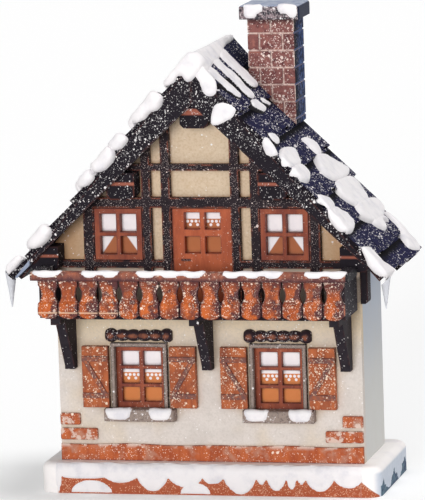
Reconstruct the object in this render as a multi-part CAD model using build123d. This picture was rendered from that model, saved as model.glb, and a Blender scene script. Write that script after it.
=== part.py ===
from build123d import *
import math
import os

# Snowy half-timbered light house, cut from thin boards and glued up by hand.
# +X right, +Y to the back, +Z up. The origin is the middle of the outline, on the table.

# Cutting and fitting
overrun = 3.0
glue_gap = 0.05
quarter_turn = 90

# Walls of the house: the lower windows and brackets set the width, the battery box sets the depth
wall_sheet = 4.0
box_wall_clearance = 1.25

# Base board: its margins are measured from the walls
base_thick = 12.2
base_front_margin = 7.7
base_back_margin = 11.4
base_side_margin = 7.5
base_corner_radius = 6.0
base_edge_radius = 3.0

# Roof: the pitch is in degrees, and the eave's lift is measured from the balcony floor's underside
roof_pitch = 48.6
eave_lift = 15.55
eave_overhang = 15.1
roof_front_reach = 16.5
roof_back_overhang = 14.5
deck_sheet = 2.2
deck_eave_inset = 1.5

# Shingle rows: boards that taper up the slope and lap over the next row down
shingle_rows = 8
eave_row_length = 9.4
shingle_tip = 2.6
shingle_head = 0.9
shingle_lap = 2.6
tongues_per_row = 7
tongue_slot_width = 0.6
tongue_slot_length = 6.5
tongue_trim = 1.7
tongue_trim_shares = (0.1, 0.7, 0.3, 1.0, 0.0, 0.55, 0.2, 0.85, 0.4)

# Bargeboards on the front of the roof
barge_sheet = 3.2
barge_drop = 15.2
barge_eave_width = 0.8

# Gable panel of the upper storey and the timber lattice on it
gable_sheet = 3.5
timber_sheet = 3.4
outer_post_width = 4.3
post_width = 3.5
post_spacing = 8.0
low_beam_lift = 14.1
low_beam_height = 2.9
mid_beam_height = 4.0
beam_spacing = 10.8
high_beam_height = 2.5

# Window and door lights
pane_columns = 2
upper_pane_rows = 2
door_pane_rows = 2
lower_pane_rows = 3

# Upper windows, set between the posts and beams
frame_gap = 0.3
upper_frame_width = 19.3
upper_frame_height = 20.6
upper_frame_border = 2.2
upper_mullion = 1.6
upper_opening_lap = 1.2
pane_sheet = 1.0

# Balcony door
door_width = 24.5
door_proud = 0.9
door_head_gap = 0.6
door_pane_width = 6.3
door_pane_height = 6.8
door_mullion = 2.0
door_rail = 2.8
door_top_rail = 1.6
door_opening_lap = 1.4

# Lower windows
window_opening_half = 10.6
window_lift = 21.0
window_opening_height = 26.2
window_frame_recess = 1.7
lower_stile = 2.4
lower_mullion = 1.7
lower_rail = 1.3
lower_bottom_rail = 2.6
lower_top_rail = 2.9
pane_border = 2.0
surround_proud = 2.4
surround_jamb = 1.55
surround_lap = 0.9

# Sills, lintels and shutters of the lower windows
sill_overhang = 2.9
sill_height = 4.9
sill_reach = 5.5
sill_edge_radius = 0.9
lintel_overhang = 2.2
lintel_beads = 6
lintel_end_radius = 2.85
lintel_bead_radius = 2.4
lintel_neck_radius = 1.8
shutter_clearance = 1.1
shutter_spacing = 10.1
shutter_width = 10.7
shutter_lift = 0.4
shutter_head_drop = 0.5
shutter_sheet = 3.0
batten_sheet = 0.6
batten_width = 1.9
batten_inset = 4.9

# Brick foot and corner bricks, a thin relief on the lower wall
brick_relief = 1.0
brick_foot_height = 6.9
brick_wave = 0.6
brick_wave_shares = (0.2, 0.9, 0.1, 0.7, 0.4, 1.0, 0.0, 0.6, 0.3)
brick_long = 15.3
brick_short = 8.3
brick_height = 4.7
brick_joint = 1.4
brick_corner_radius = 0.7

# Balcony
balcony_end_inset = 0.5
balcony_clearance = 8.15
balcony_floor_sheet = 3.2
balcony_reach = 27.2
balcony_end_sheet = 2.2
railing_boards = 15
railing_lift = 0.4
railing_head_gap = 1.1
railing_top_sheet = 2.2
railing_waist_sheet = 1.7
railing_bulge_sheet = 3.4
railing_foot_sheet = 1.9
railing_waist_share = 0.62
railing_shoulder_share = 0.44
railing_bulge_share = 0.2
eye_low_share = 0.4
eye_high_share = 0.86
eye_half_width = 1.35
slit_width = 0.7
slit_web = 1.3
scallop_rise = 2.0
handrail_height = 3.4
handrail_width = 4.8
handrail_overhang = 2.3
handrail_edge_radius = 0.9

# Balcony brackets
bracket_clearance = 2.55
bracket_end_inset = 3.8
bracket_width = 4.0
bracket_drop = 24.2
bracket_cap_reach = 24.0
bracket_cap_height = 3.0
bracket_top_reach = 17.0
bracket_foot_reach = 4.7
bracket_foot_height = 1.4

# Purlin ends, eave purlins and corner posts
purlin_chamfer = 1.6
top_purlin_half_width = 5.7
top_purlin_gap = 0.9
top_purlin_height = 9.1
middle_purlin_x = 30.7
middle_purlin_width = 11.4
eave_purlin_inner = 5.0
eave_purlin_outer = 6.5
eave_purlin_drop = 8.4
eave_purlin_height = 9.7
eave_purlin_back_inset = 4.0
corner_post_sheet = 3.0
corner_post_depth = 6.0
corner_post_setback = 0.5
corner_post_drop = 14.9
corner_post_radius = 1.4

# Chimney
chimney_x = 20.8
chimney_width = 19.0
chimney_depth = 18.5
chimney_back_inset = 0.5
chimney_rise = 8.4
brick_course = 6.9
top_course = 5.9
mortar_width = 0.7
mortar_depth = 0.35
even_joint_shares = (0.5,)
odd_joint_shares = (0.25, 0.75)
cap_overhang = 2.9
cap_thick = 5.6
cap_edge_radius = 1.3

# Icicles at the eaves
icicle_radius = 2.6
icicle_length = 13.0
icicle_waist_radius = 1.4
icicle_tip_radius = 0.25
left_icicle_setback = 2.7
left_icicle_inset = 0.6
right_icicle_setback = 4.6
right_icicle_inset = 2.4

# Battery box, let into the base from above
cell_diameter = 10.5
cell_length = 44.5
cell_nub_diameter = 3.8
cell_nub_length = 1.0
cell_play = 0.4
contact_sheet = 0.4
contact_width = 8.0
contact_height = 8.0
contact_tab_width = 2.4
spring_length = 4.6
spring_foot_radius = 3.4
spring_tip_radius = 1.8
box_wall = 1.4
box_fit = 0.3
box_flange = 3.0
box_end_flange = 6.5
box_flange_sheet = 1.4
box_rim_lift = 0.6
board_boss_radius = 1.6
board_boss_height = 2.0
screw_radius = 1.0
screw_head_radius = 1.9
screw_head_height = 1.3
screw_length = 8.0
screw_play = 0.1

# Battery lid: slides along +X until its tabs are clear of the ledges
lid_sheet = 1.6
lid_lift = 0.8
lid_play = 0.2
lid_travel = 8.0
lid_tab_length = 6.0
lid_tab_reach = 1.0
lid_tab_sheet = 1.0
lid_tab_inset = 6.0
lid_grip_ribs = 4
lid_grip_pitch = 2.2
lid_grip_width = 0.9
lid_grip_depth = 0.5
lid_grip_length = 12.0
lid_pocket_margin = 1.2

# Switch slider, which travels along +Y
switch_room = 8.0
switch_plate = 1.2
switch_plate_lift = 1.8
switch_knob_length = 3.0
switch_knob_width = 2.4
switch_knob_lift = 0.8
switch_head_length = 11.0
switch_head_width = 5.0
switch_head_height = 2.0
switch_travel = 3.0
switch_play = 0.2

# Lamp
board_sheet = 1.2
board_width = 16.0
lamp_radius = 2.5
lamp_length = 6.2
lamp_flange_radius = 2.9
lamp_flange_height = 1.0

# Places of the lamp unit
cavity_half = (cell_length + spring_length + 2 * contact_sheet + cell_play) / 2
cavity_wide = 2 * cell_diameter + 3 * cell_play
cell_offset = (cell_diameter + cell_play) / 2
box_half = cavity_wide / 2 + box_wall
box_left = -cavity_half - box_wall - switch_room - box_wall
box_right = cavity_half + box_wall
lid_half = cavity_wide / 2 - lid_play
lid_top = lid_lift + lid_sheet
lid_tab_starts = (-cavity_half + lid_tab_inset, cavity_half - lid_tab_inset - lid_tab_length - lid_travel)
cell_axis_z = lid_top + cell_play + cell_diameter / 2
cavity_top = cell_axis_z + cell_diameter / 2 + cell_play
box_top = cavity_top + box_wall
board_low = box_top + board_boss_height

# Places of the lower storey
window_opening_z = base_thick + window_lift
window_top = window_opening_z + window_opening_height
sill_top = window_opening_z + surround_lap - frame_gap
surround_half = window_opening_half + surround_lap
shutter_inner_offset = surround_half + shutter_clearance
window_x = shutter_spacing / 2 + shutter_width + shutter_inner_offset
bracket_x = window_x + shutter_inner_offset + shutter_width + bracket_clearance + bracket_width / 2
wall_half = bracket_x + bracket_width / 2 + bracket_end_inset
wall_depth = 2 * (box_half + box_flange + box_wall_clearance + wall_sheet)
lintel_axis_z = window_top + surround_lap + glue_gap + lintel_end_radius
balcony_floor_z = lintel_axis_z + lintel_end_radius + balcony_clearance
balcony_floor_top = balcony_floor_z + balcony_floor_sheet
balcony_width = 2 * (wall_half - balcony_end_inset)
railing_bottom_z = balcony_floor_z + railing_lift

# Places from front to back
handrail_reach = balcony_reach + handrail_width
roof_back_reach = wall_depth + roof_back_overhang
wall_front = (handrail_reach - roof_back_reach) / 2
wall_back = wall_front + wall_depth
inside_middle = (wall_front + wall_back) / 2
roof_front = wall_front - roof_front_reach
roof_back = wall_front + roof_back_reach
gable_front = wall_front - gable_sheet
timber_front = gable_front - timber_sheet
purlin_front = roof_front + barge_sheet
door_front = gable_front - door_proud

# Places of the upper storey
door_half = door_width / 2
door_post_x = door_half + post_width / 2
second_post_x = door_post_x + post_spacing
upper_window_x = second_post_x + post_width / 2 + frame_gap + upper_frame_width / 2
outer_post_x = upper_window_x + upper_frame_width / 2 + frame_gap + outer_post_width / 2
low_beam_z = balcony_floor_top + low_beam_lift
upper_frame_z = low_beam_z + low_beam_height + frame_gap
mid_beam_z = upper_frame_z + upper_frame_height + frame_gap
high_beam_z = mid_beam_z + mid_beam_height + beam_spacing
door_top = mid_beam_z - door_head_gap
door_panes_top = door_top - door_top_rail
door_panes_z = door_panes_top - 2 * door_pane_height - door_rail
door_light_half = door_half - door_opening_lap

# Places of the roof
pitch_cos = math.cos(math.radians(roof_pitch))
pitch_sin = math.sin(math.radians(roof_pitch))
pitch_tan = math.tan(math.radians(roof_pitch))
eave_half_width = wall_half + eave_overhang
slope_length = eave_half_width / pitch_cos
ridge_height = balcony_floor_z + eave_lift + eave_half_width * pitch_tan
chimney_top_z = ridge_height + chimney_rise
top_purlin_z = ridge_height - shingle_tip / pitch_cos - barge_drop - top_purlin_gap - top_purlin_height
under_board_at_wall = ridge_height - (shingle_tip + deck_sheet) / pitch_cos - wall_half * pitch_tan
eave_purlin_z = under_board_at_wall - eave_purlin_drop
railing_height = eave_purlin_z - railing_head_gap - railing_bottom_z

# Screws, board bosses, contact tabs and switch, inside the walls
screw_places = (box_left - box_end_flange / 2, box_right + box_end_flange / 2)
boss_places = [(x, inside_middle) for x in (box_left / 2, box_right / 2)]
tab_places = [(cavity_half - contact_sheet / 2, inside_middle + side * cell_offset) for side in (-1, 1)]
switch_x = box_left + box_wall + switch_room / 2
switch_y = inside_middle - switch_travel / 2


def block(x0, x1, y0, y1, z0, z1):
    """Box between two opposite corners."""
    middle = Pos((x0 + x1) / 2, (y0 + y1) / 2, (z0 + z1) / 2)
    return middle * Box(x1 - x0, y1 - y0, z1 - z0)


def block_about(x, half_x, y, half_y, z0, z1):
    """Box that stands about a middle point, given its half width and half depth."""
    return block(x - half_x, x + half_x, y - half_y, y + half_y, z0, z1)


def upright_plane(y):
    """Plane at y whose own axes are X and Z."""
    return Plane(origin=(0, y, 0), x_dir=(1, 0, 0), z_dir=(0, -1, 0))


def slab(points, y0, y1):
    """Board of a given outline in x and z, standing between y0 and y1."""
    outline = upright_plane(y0) * Polygon(*points, align=None)
    return extrude(outline, amount=y1 - y0, dir=(0, 1, 0))


def side_slab(points, x0, x1):
    """Board of a given outline in y and z, standing between x0 and x1."""
    plane = Plane(origin=(x0, 0, 0), x_dir=(0, 1, 0), z_dir=(1, 0, 0))
    return extrude(plane * Polygon(*points, align=None), amount=x1 - x0, dir=(1, 0, 0))


def mirrored(shape):
    """The same piece for the left half of the house."""
    return mirror(shape, about=Plane.YZ)


def roof_point(down, above):
    """Point of the right slope: down from the ridge, and above the roof board."""
    x = down * pitch_cos + (above - shingle_tip) * pitch_sin
    z = ridge_height - down * pitch_sin + (above - shingle_tip) * pitch_cos
    return x, z


def roof_height(x, above):
    """Height of the right slope at x, on the line that lies this far above the roof board."""
    return ridge_height + (above - shingle_tip) / pitch_cos - x * pitch_tan


def under_roof(x):
    """Height just below the roof board at a distance x from the middle."""
    return roof_height(x, -deck_sheet) - glue_gap


def gable_outline(half_width, bottom):
    """House-shaped outline that fits under both roof boards."""
    shoulder = under_roof(half_width)
    return [(-half_width, bottom), (half_width, bottom), (half_width, shoulder),
            (0, under_roof(0)), (-half_width, shoulder)]


# Base board
def make_base():
    width = 2 * (wall_half + base_side_margin)
    front = wall_front - base_front_margin
    back = wall_back + base_back_margin
    outline = RectangleRounded(width, back - front, base_corner_radius)
    board = extrude(outline, amount=base_thick)
    board = fillet(board.faces().sort_by(Axis.Z)[-1].edges(), base_edge_radius)
    board = Pos(0, (front + back) / 2, 0) * board
    hole = block(box_left - box_fit, box_right + box_fit, inside_middle - box_half - box_fit,
                 inside_middle + box_half + box_fit, -overrun, base_thick + overrun)
    pocket_half = lid_half + lid_pocket_margin
    pocket = block(box_right, box_right + lid_travel + lid_pocket_margin, inside_middle - pocket_half,
                   inside_middle + pocket_half, -overrun, lid_top + lid_play)
    pilot_depth = screw_length - box_flange_sheet + screw_play
    pilot = Cylinder(screw_radius + screw_play, pilot_depth)
    pilot_z = base_thick - pilot_depth / 2
    return board - hole - pocket - [Pos(x, inside_middle, pilot_z) * pilot for x in screw_places]


# Walls
def window_hole(x, y0, y1):
    """Lower window opening in the front wall."""
    return block(x - window_opening_half, x + window_opening_half, y0 - overrun, y1 + overrun,
                 window_opening_z, window_top)


def upper_hole(x, y0, y1):
    """Opening behind an upper window frame."""
    half = upper_frame_width / 2 - upper_opening_lap
    low = upper_frame_z + upper_opening_lap
    high = upper_frame_z + upper_frame_height - upper_opening_lap
    return block(x - half, x + half, y0 - overrun, y1 + overrun, low, high)


def make_front_wall():
    wall = slab(gable_outline(wall_half, base_thick), wall_front, wall_front + wall_sheet)
    holes = [window_hole(x, wall_front, wall_front + wall_sheet) for x in (-window_x, window_x)]
    holes += [upper_hole(x, wall_front, wall_front + wall_sheet) for x in (-upper_window_x, upper_window_x)]
    door_light = block(-door_light_half, door_light_half, wall_front - overrun,
                       wall_front + wall_sheet + overrun, door_panes_z - door_opening_lap, door_panes_top)
    return wall - holes - door_light


def make_back_wall():
    return slab(gable_outline(wall_half, base_thick), wall_back - wall_sheet, wall_back)


def make_side_wall():
    inner = wall_half - wall_sheet
    outline = [(inner, base_thick), (wall_half, base_thick), (wall_half, under_roof(wall_half)),
               (inner, under_roof(inner))]
    return slab(outline, wall_front + wall_sheet, wall_back - wall_sheet)


# Upper storey
def make_gable_panel():
    panel = slab(gable_outline(wall_half, balcony_floor_top), gable_front, wall_front)
    holes = [upper_hole(x, gable_front, wall_front) for x in (-upper_window_x, upper_window_x)]
    doorway = block(-door_half - glue_gap, door_half + glue_gap, gable_front - overrun,
                    wall_front + overrun, balcony_floor_top - overrun, door_top + glue_gap)
    return panel - holes - doorway


def make_timber_frame():
    """Posts and beams cut as one lattice and trimmed to the roof."""
    reach = wall_half - eave_purlin_inner - glue_gap
    posts = ((outer_post_x, outer_post_width), (second_post_x, post_width), (door_post_x, post_width))
    bars = []
    for side in (-1, 1):
        inner, outer = sorted((side * (door_post_x - post_width / 2), side * reach))
        bars.append((inner, outer, low_beam_z, low_beam_z + low_beam_height))
        for x, width in posts:
            bars.append((side * x - width / 2, side * x + width / 2, balcony_floor_top, ridge_height))
    bars.append((-reach, reach, mid_beam_z, mid_beam_z + mid_beam_height))
    bars.append((-reach, reach, high_beam_z, high_beam_z + high_beam_height))
    solids = [block(x0, x1, timber_front, gable_front, z0, z1) for x0, x1, z0, z1 in bars]
    lattice = solids[0].fuse(*solids[1:])
    return lattice & slab(gable_outline(reach, balcony_floor_top), timber_front, gable_front)


def pane_grid(frame, left, bottom, rows, pane_width, pane_height, mullion, rail, y0, y1):
    """Cut a grid of pane openings through a window frame."""
    for column in range(pane_columns):
        for row in range(rows):
            x = left + column * (pane_width + mullion)
            z = bottom + row * (pane_height + rail)
            frame -= block(x, x + pane_width, y0 - overrun, y1 + overrun, z, z + pane_height)
    return frame


def make_upper_frame(x):
    half = upper_frame_width / 2
    top = upper_frame_z + upper_frame_height
    frame = block(x - half, x + half, timber_front, gable_front, upper_frame_z, top)
    pane_width = (upper_frame_width - 2 * upper_frame_border - upper_mullion) / 2
    pane_height = (upper_frame_height - 2 * upper_frame_border - upper_mullion) / 2
    left = x - half + upper_frame_border
    bottom = upper_frame_z + upper_frame_border
    return pane_grid(frame, left, bottom, upper_pane_rows, pane_width, pane_height,
                     upper_mullion, upper_mullion, timber_front, gable_front)


def make_upper_pane(x):
    half = upper_frame_width / 2 - upper_opening_lap - glue_gap
    low = upper_frame_z + upper_opening_lap + glue_gap
    high = upper_frame_z + upper_frame_height - upper_opening_lap - glue_gap
    return block(x - half, x + half, gable_front, gable_front + pane_sheet, low, high)


def make_door():
    leaf = block(-door_half, door_half, door_front, wall_front - pane_sheet, balcony_floor_top, door_top)
    left = -door_pane_width - door_mullion / 2
    return pane_grid(leaf, left, door_panes_z, door_pane_rows, door_pane_width, door_pane_height,
                     door_mullion, door_rail, door_front, wall_front)


def make_door_pane():
    return block(-door_half, door_half, wall_front - pane_sheet, wall_front,
                 door_panes_z - 2 * door_opening_lap, door_top)


# Lower windows
def make_surround(x):
    inner = surround_half - surround_jamb
    top = window_top + surround_lap
    ring = block(x - surround_half, x + surround_half, wall_front - surround_proud, wall_front, sill_top, top)
    hole = block(x - inner, x + inner, wall_front - surround_proud - overrun, wall_front + overrun,
                 sill_top - overrun, top - surround_jamb)
    return ring - hole


def make_lower_frame(x):
    half = window_opening_half - glue_gap
    front = wall_front + window_frame_recess
    back = wall_front + wall_sheet
    low = window_opening_z + glue_gap
    high = window_top - glue_gap
    frame = block(x - half, x + half, front, back, low, high)
    pane_width = half - lower_stile - lower_mullion / 2
    bottom = low + lower_bottom_rail
    rails = (lower_pane_rows - 1) * lower_rail
    pane_height = (high - lower_top_rail - bottom - rails) / lower_pane_rows
    return pane_grid(frame, x - half + lower_stile, bottom, lower_pane_rows, pane_width, pane_height,
                     lower_mullion, lower_rail, front, back)


def make_lower_pane(x):
    half = window_opening_half + pane_border
    back = wall_front + wall_sheet
    return block(x - half, x + half, back, back + pane_sheet, window_opening_z - pane_border,
                 window_top + pane_border)


def make_lintel(x):
    """Split turning: a row of beads, flat against the wall."""
    half_length = surround_half + lintel_overhang
    pitch = 2 * half_length / lintel_beads
    edges = []
    for bead in range(lintel_beads):
        start = -half_length + bead * pitch
        radius = lintel_end_radius if bead in (0, lintel_beads - 1) else lintel_bead_radius
        edges.append(ThreePointArc((start, lintel_neck_radius), (start + pitch / 2, radius),
                                   (start + pitch, lintel_neck_radius)))
    edges.append(Polyline((half_length, lintel_neck_radius), (half_length, 0), (-half_length, 0),
                          (-half_length, lintel_neck_radius)))
    turned = revolve(make_face(edges), axis=Axis.X)
    clear = lintel_end_radius + overrun
    back_half = block(-half_length - overrun, half_length + overrun, 0, clear, -clear, clear)
    return Pos(x, wall_front, lintel_axis_z) * (turned - back_half)


def make_sill(x):
    half_length = surround_half + sill_overhang
    sill = block(x - half_length, x + half_length, wall_front - sill_reach, wall_front,
                 sill_top - sill_height, sill_top)
    front = sill.faces().sort_by(Axis.Y)[0]
    return fillet(front.edges(), sill_edge_radius)


def make_shutter(x, side):
    """Board with two battens and a diagonal, hung beside a window on the given side."""
    inner = x + side * shutter_inner_offset
    outer = inner + side * shutter_width
    low = sill_top + shutter_lift
    high = window_top - shutter_head_drop
    face = wall_front - shutter_sheet
    x0, x1 = sorted((inner, outer))
    board = block(x0, x1, face, wall_front, low, high)
    top_batten = high - batten_inset
    low_batten = low + batten_inset
    battens = [block(x0, x1, face - batten_sheet, face, z - batten_width / 2, z + batten_width / 2)
               for z in (top_batten, low_batten)]
    corner = side * batten_width
    brace = slab([(outer - corner, top_batten), (outer, top_batten), (inner + corner, low_batten),
                  (inner, low_batten)], face - batten_sheet, face)
    return board.fuse(*battens, brace)


# Brick relief
def make_brick_relief():
    """Foot with a wavy top, and two bricks up each corner."""
    half = wall_half - glue_gap
    low = base_thick + glue_gap
    front = wall_front - brick_relief
    count = len(brick_wave_shares)
    crest = [(half - 2 * half * number / (count - 1), low + brick_foot_height - brick_wave * share)
             for number, share in enumerate(brick_wave_shares)]
    wave = Spline(*crest)
    outline = [wave, Polyline(crest[-1], (-half, low), (half, low), crest[0])]
    foot = extrude(upright_plane(front) * make_face(outline), amount=brick_relief, dir=(0, 1, 0))
    solids = [foot]
    bottom = low + brick_foot_height + brick_joint
    for course, length in enumerate((brick_long, brick_short)):
        z = bottom + course * (brick_height + brick_joint)
        brick = block(half - length, half, front, wall_front, z, z + brick_height)
        brick = fillet(brick.edges().filter_by(Axis.Y), brick_corner_radius)
        solids += [brick, mirrored(brick)]
    return Compound(children=solids)


# Balcony
def make_balcony_floor():
    half = balcony_width / 2 - balcony_end_sheet
    return block(-half, half, wall_front - balcony_reach, wall_front, balcony_floor_z, balcony_floor_top)


def railing_profile():
    """Moulded section of the railing: thin at the waist, swollen near the foot."""
    back = wall_front - balcony_reach
    top = railing_bottom_z + railing_height
    waist = (back - railing_waist_sheet, railing_bottom_z + railing_height * railing_waist_share)
    shoulder = (back - railing_top_sheet, railing_bottom_z + railing_height * railing_shoulder_share)
    bulge = (back - railing_bulge_sheet, railing_bottom_z + railing_height * railing_bulge_share)
    foot = (back - railing_foot_sheet, railing_bottom_z)
    head = (back - railing_top_sheet, top)
    return [ThreePointArc(head, waist, shoulder), ThreePointArc(shoulder, bulge, foot),
            Polyline(foot, (back, railing_bottom_z), (back, top), head)]


def make_railing():
    """Hourglass boards: eyes and slits cut through a moulded strip, with rounded feet."""
    half = balcony_width / 2
    back = wall_front - balcony_reach
    front = back - railing_bulge_sheet
    top = railing_bottom_z + railing_height
    plane = Plane(origin=(-half, 0, 0), x_dir=(0, 1, 0), z_dir=(1, 0, 0))
    strip = extrude(plane * make_face(railing_profile()), amount=balcony_width, dir=(1, 0, 0))
    pitch = balcony_width / railing_boards
    eye_low = railing_bottom_z + railing_height * eye_low_share
    eye_high = railing_bottom_z + railing_height * eye_high_share
    cutter_plane = upright_plane(front - overrun)
    depth = railing_bulge_sheet + 2 * overrun
    cutters = []
    for gap in range(railing_boards + 1):
        x = -half + gap * pitch
        low, high = (x, eye_low), (x, eye_high)
        middle = (eye_low + eye_high) / 2
        eye = make_face([ThreePointArc(low, (x - eye_half_width, middle), high),
                         ThreePointArc(high, (x + eye_half_width, middle), low)])
        cutters.append(extrude(cutter_plane * eye, amount=depth, dir=(0, 1, 0)))
        if 0 < gap < railing_boards:
            cutters.append(block(x - slit_width / 2, x + slit_width / 2, front - overrun, back + overrun,
                                 middle, top + overrun))
            cutters.append(block(x - slit_width / 2, x + slit_width / 2, front - overrun, back - slit_web,
                                 railing_bottom_z - overrun, middle))
    for board in range(railing_boards):
        left = -half + board * pitch
        right = left + pitch
        crown = railing_bottom_z + scallop_rise
        below = railing_bottom_z - overrun
        lowest = ((left + right) / 2, railing_bottom_z)
        foot = make_face([ThreePointArc((left, crown), lowest, (right, crown)),
                          Polyline((right, crown), (right, below), (left, below), (left, crown))])
        cutters.append(extrude(cutter_plane * foot, amount=depth, dir=(0, 1, 0)))
    return strip - cutters


def make_balcony_end():
    half = balcony_width / 2
    return block(half - balcony_end_sheet, half, wall_front - balcony_reach, gable_front, railing_bottom_z,
                 railing_bottom_z + railing_height)


def make_handrail():
    """Rail on top of the boards, with a return along each end."""
    half = balcony_width / 2 + handrail_overhang
    front = wall_front - handrail_reach
    low = railing_bottom_z + railing_height
    inside = half - handrail_width
    back = wall_front - roof_front_reach + barge_sheet - frame_gap
    rail = block(-half, half, front, back, low, low + handrail_height)
    rail = fillet(rail.edges().filter_by(Axis.X).group_by(Axis.Y)[0], handrail_edge_radius)
    return rail - block(-inside, inside, front + handrail_width, back + overrun, low - overrun,
                        low + handrail_height + overrun)


def make_bracket(x):
    """Tapered bracket under the balcony, with a joist end on top."""
    top = balcony_floor_z
    cap_low = top - bracket_cap_height
    foot = top - bracket_drop
    cap_front = wall_front - bracket_cap_reach
    foot_front = wall_front - bracket_foot_reach
    outline = [(wall_front, foot), (wall_front, top), (cap_front, top), (cap_front, cap_low),
               (wall_front - bracket_top_reach, cap_low), (foot_front, foot + bracket_foot_height),
               (foot_front, foot)]
    return side_slab(outline, x - bracket_width / 2, x + bracket_width / 2)


# Beam ends
def make_purlin_end(x0, x1, z0, z1):
    """Beam end with chamfered lower corners, trimmed to the roof board."""
    outline = [(x0, z0 + purlin_chamfer), (x0 + purlin_chamfer, z0), (x1 - purlin_chamfer, z0),
               (x1, z0 + purlin_chamfer), (x1, z1), (x0, z1)]
    end = slab(outline, purlin_front, gable_front)
    return end & slab(gable_outline(eave_half_width, 0), purlin_front, gable_front)


def make_eave_purlin():
    """Purlin along the head of the right side wall, with a full-width end at the front."""
    inner = wall_half - eave_purlin_inner
    outer = wall_half + eave_purlin_outer
    high = eave_purlin_z + eave_purlin_height
    end = make_purlin_end(inner, outer, eave_purlin_z, high)
    back = roof_back - eave_purlin_back_inset
    run = block(wall_half + glue_gap, outer, gable_front, back, eave_purlin_z, high)
    run = run & slab(gable_outline(eave_half_width, 0), gable_front, roof_back)
    return end + run


def make_corner_posts():
    """Short post on each side wall, hanging below the eave purlin, with a rounded foot."""
    low = eave_purlin_z - corner_post_drop
    y0 = wall_front + corner_post_setback
    post = block(wall_half, wall_half + corner_post_sheet, y0, y0 + corner_post_depth, low, eave_purlin_z)
    foot = post.faces().sort_by(Axis.Z)[0].edges().filter_by(Axis.Y).sort_by(Axis.X)[-1]
    post = fillet([foot], corner_post_radius)
    return Compound(children=[mirrored(post), post])


# Roof
def make_roof_board():
    end = slope_length - deck_eave_inset
    outline = [(glue_gap, roof_height(glue_gap, -deck_sheet)), (glue_gap, roof_height(glue_gap, 0)),
               roof_point(end, 0), roof_point(end, -deck_sheet)]
    return slab(outline, roof_front + barge_sheet, roof_back)


def row_edge(row):
    """Distance from the ridge to the lower edge of a shingle row."""
    full_pitch = (slope_length - eave_row_length) / (shingle_rows - 1)
    return min(full_pitch * (row + 1), slope_length)


def row_start(row):
    """Distance from the ridge to the head of a shingle row."""
    return row_edge(row - 1) - shingle_lap


def row_height(row, down):
    """Thickness of a tapered shingle row at a distance from the ridge."""
    taper = (shingle_tip - shingle_head) / (row_edge(row) - row_start(row))
    return shingle_head + taper * (down - row_start(row))


def row_blank(row):
    """One shingle row before its tongues are cut."""
    edge = row_edge(row)
    if row == 0:
        head = [(glue_gap, roof_height(glue_gap, 0)), (glue_gap, roof_height(glue_gap, shingle_tip))]
    else:
        head = [roof_point(row_start(row), 0), roof_point(row_start(row), shingle_head)]
    if row == shingle_rows - 1:
        tail = [roof_point(edge, shingle_tip), roof_point(edge, 0)]
    else:
        seat = edge - shingle_lap
        tail = [roof_point(edge, shingle_tip), roof_point(edge, row_height(row + 1, edge) + glue_gap),
                roof_point(seat, shingle_head + glue_gap), roof_point(seat - glue_gap, 0)]
    return slab(head + tail, roof_front, roof_back)


def roof_steps():
    """Stepped outline of the shingle rows, closed below the roof board."""
    steps = [(0, roof_height(0, shingle_tip)), roof_point(row_edge(0), shingle_tip)]
    for row in range(1, shingle_rows):
        steps += [roof_point(row_edge(row - 1), row_height(row, row_edge(row - 1))),
                  roof_point(row_edge(row), shingle_tip)]
    return steps + [roof_point(slope_length, -deck_sheet), (0, roof_height(eave_half_width, 0))]


def make_shingle_row(row, shift):
    """Row with slits between its tongues, and tongues of uneven length."""
    x, z = roof_point(row_edge(row), 0)
    slope = Plane(origin=(x, 0, z), x_dir=(pitch_cos, 0, -pitch_sin), z_dir=(pitch_sin, 0, pitch_cos))
    pitch = (roof_back - roof_front) / tongues_per_row
    stagger = pitch / 2 if row % 2 else 0
    height = shingle_tip + 2 * overrun
    cutters = []
    for tongue in range(tongues_per_row + 1):
        y0 = roof_front + tongue * pitch - stagger
        trim = tongue_trim * tongue_trim_shares[(tongue * 2 + row * 3 + shift) % len(tongue_trim_shares)]
        trim_length = trim + overrun
        trimmer = Pos(overrun - trim_length / 2, y0 + pitch / 2, shingle_tip / 2)
        cutters.append(trimmer * Box(trim_length, pitch, height))
        slot_length = tongue_slot_length + overrun
        slot = Pos(overrun - slot_length / 2, y0, shingle_tip / 2)
        if roof_front < y0 < roof_back:
            cutters.append(slot * Box(slot_length, tongue_slot_width, height))
    return row_blank(row) - [slope * cutter for cutter in cutters]


def make_shingles(shift):
    return Compound(children=[make_shingle_row(row, shift) for row in range(shingle_rows)])


def make_bargeboard():
    """Board on the front of the right slope, deep at the ridge and slim at the eave."""
    apex = roof_height(glue_gap, 0) - glue_gap
    end = slope_length - deck_eave_inset
    outline = [(glue_gap, apex - barge_drop), (glue_gap, apex), roof_point(end, -glue_gap),
               roof_point(end, -barge_eave_width)]
    return slab(outline, roof_front, roof_front + barge_sheet)


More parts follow.
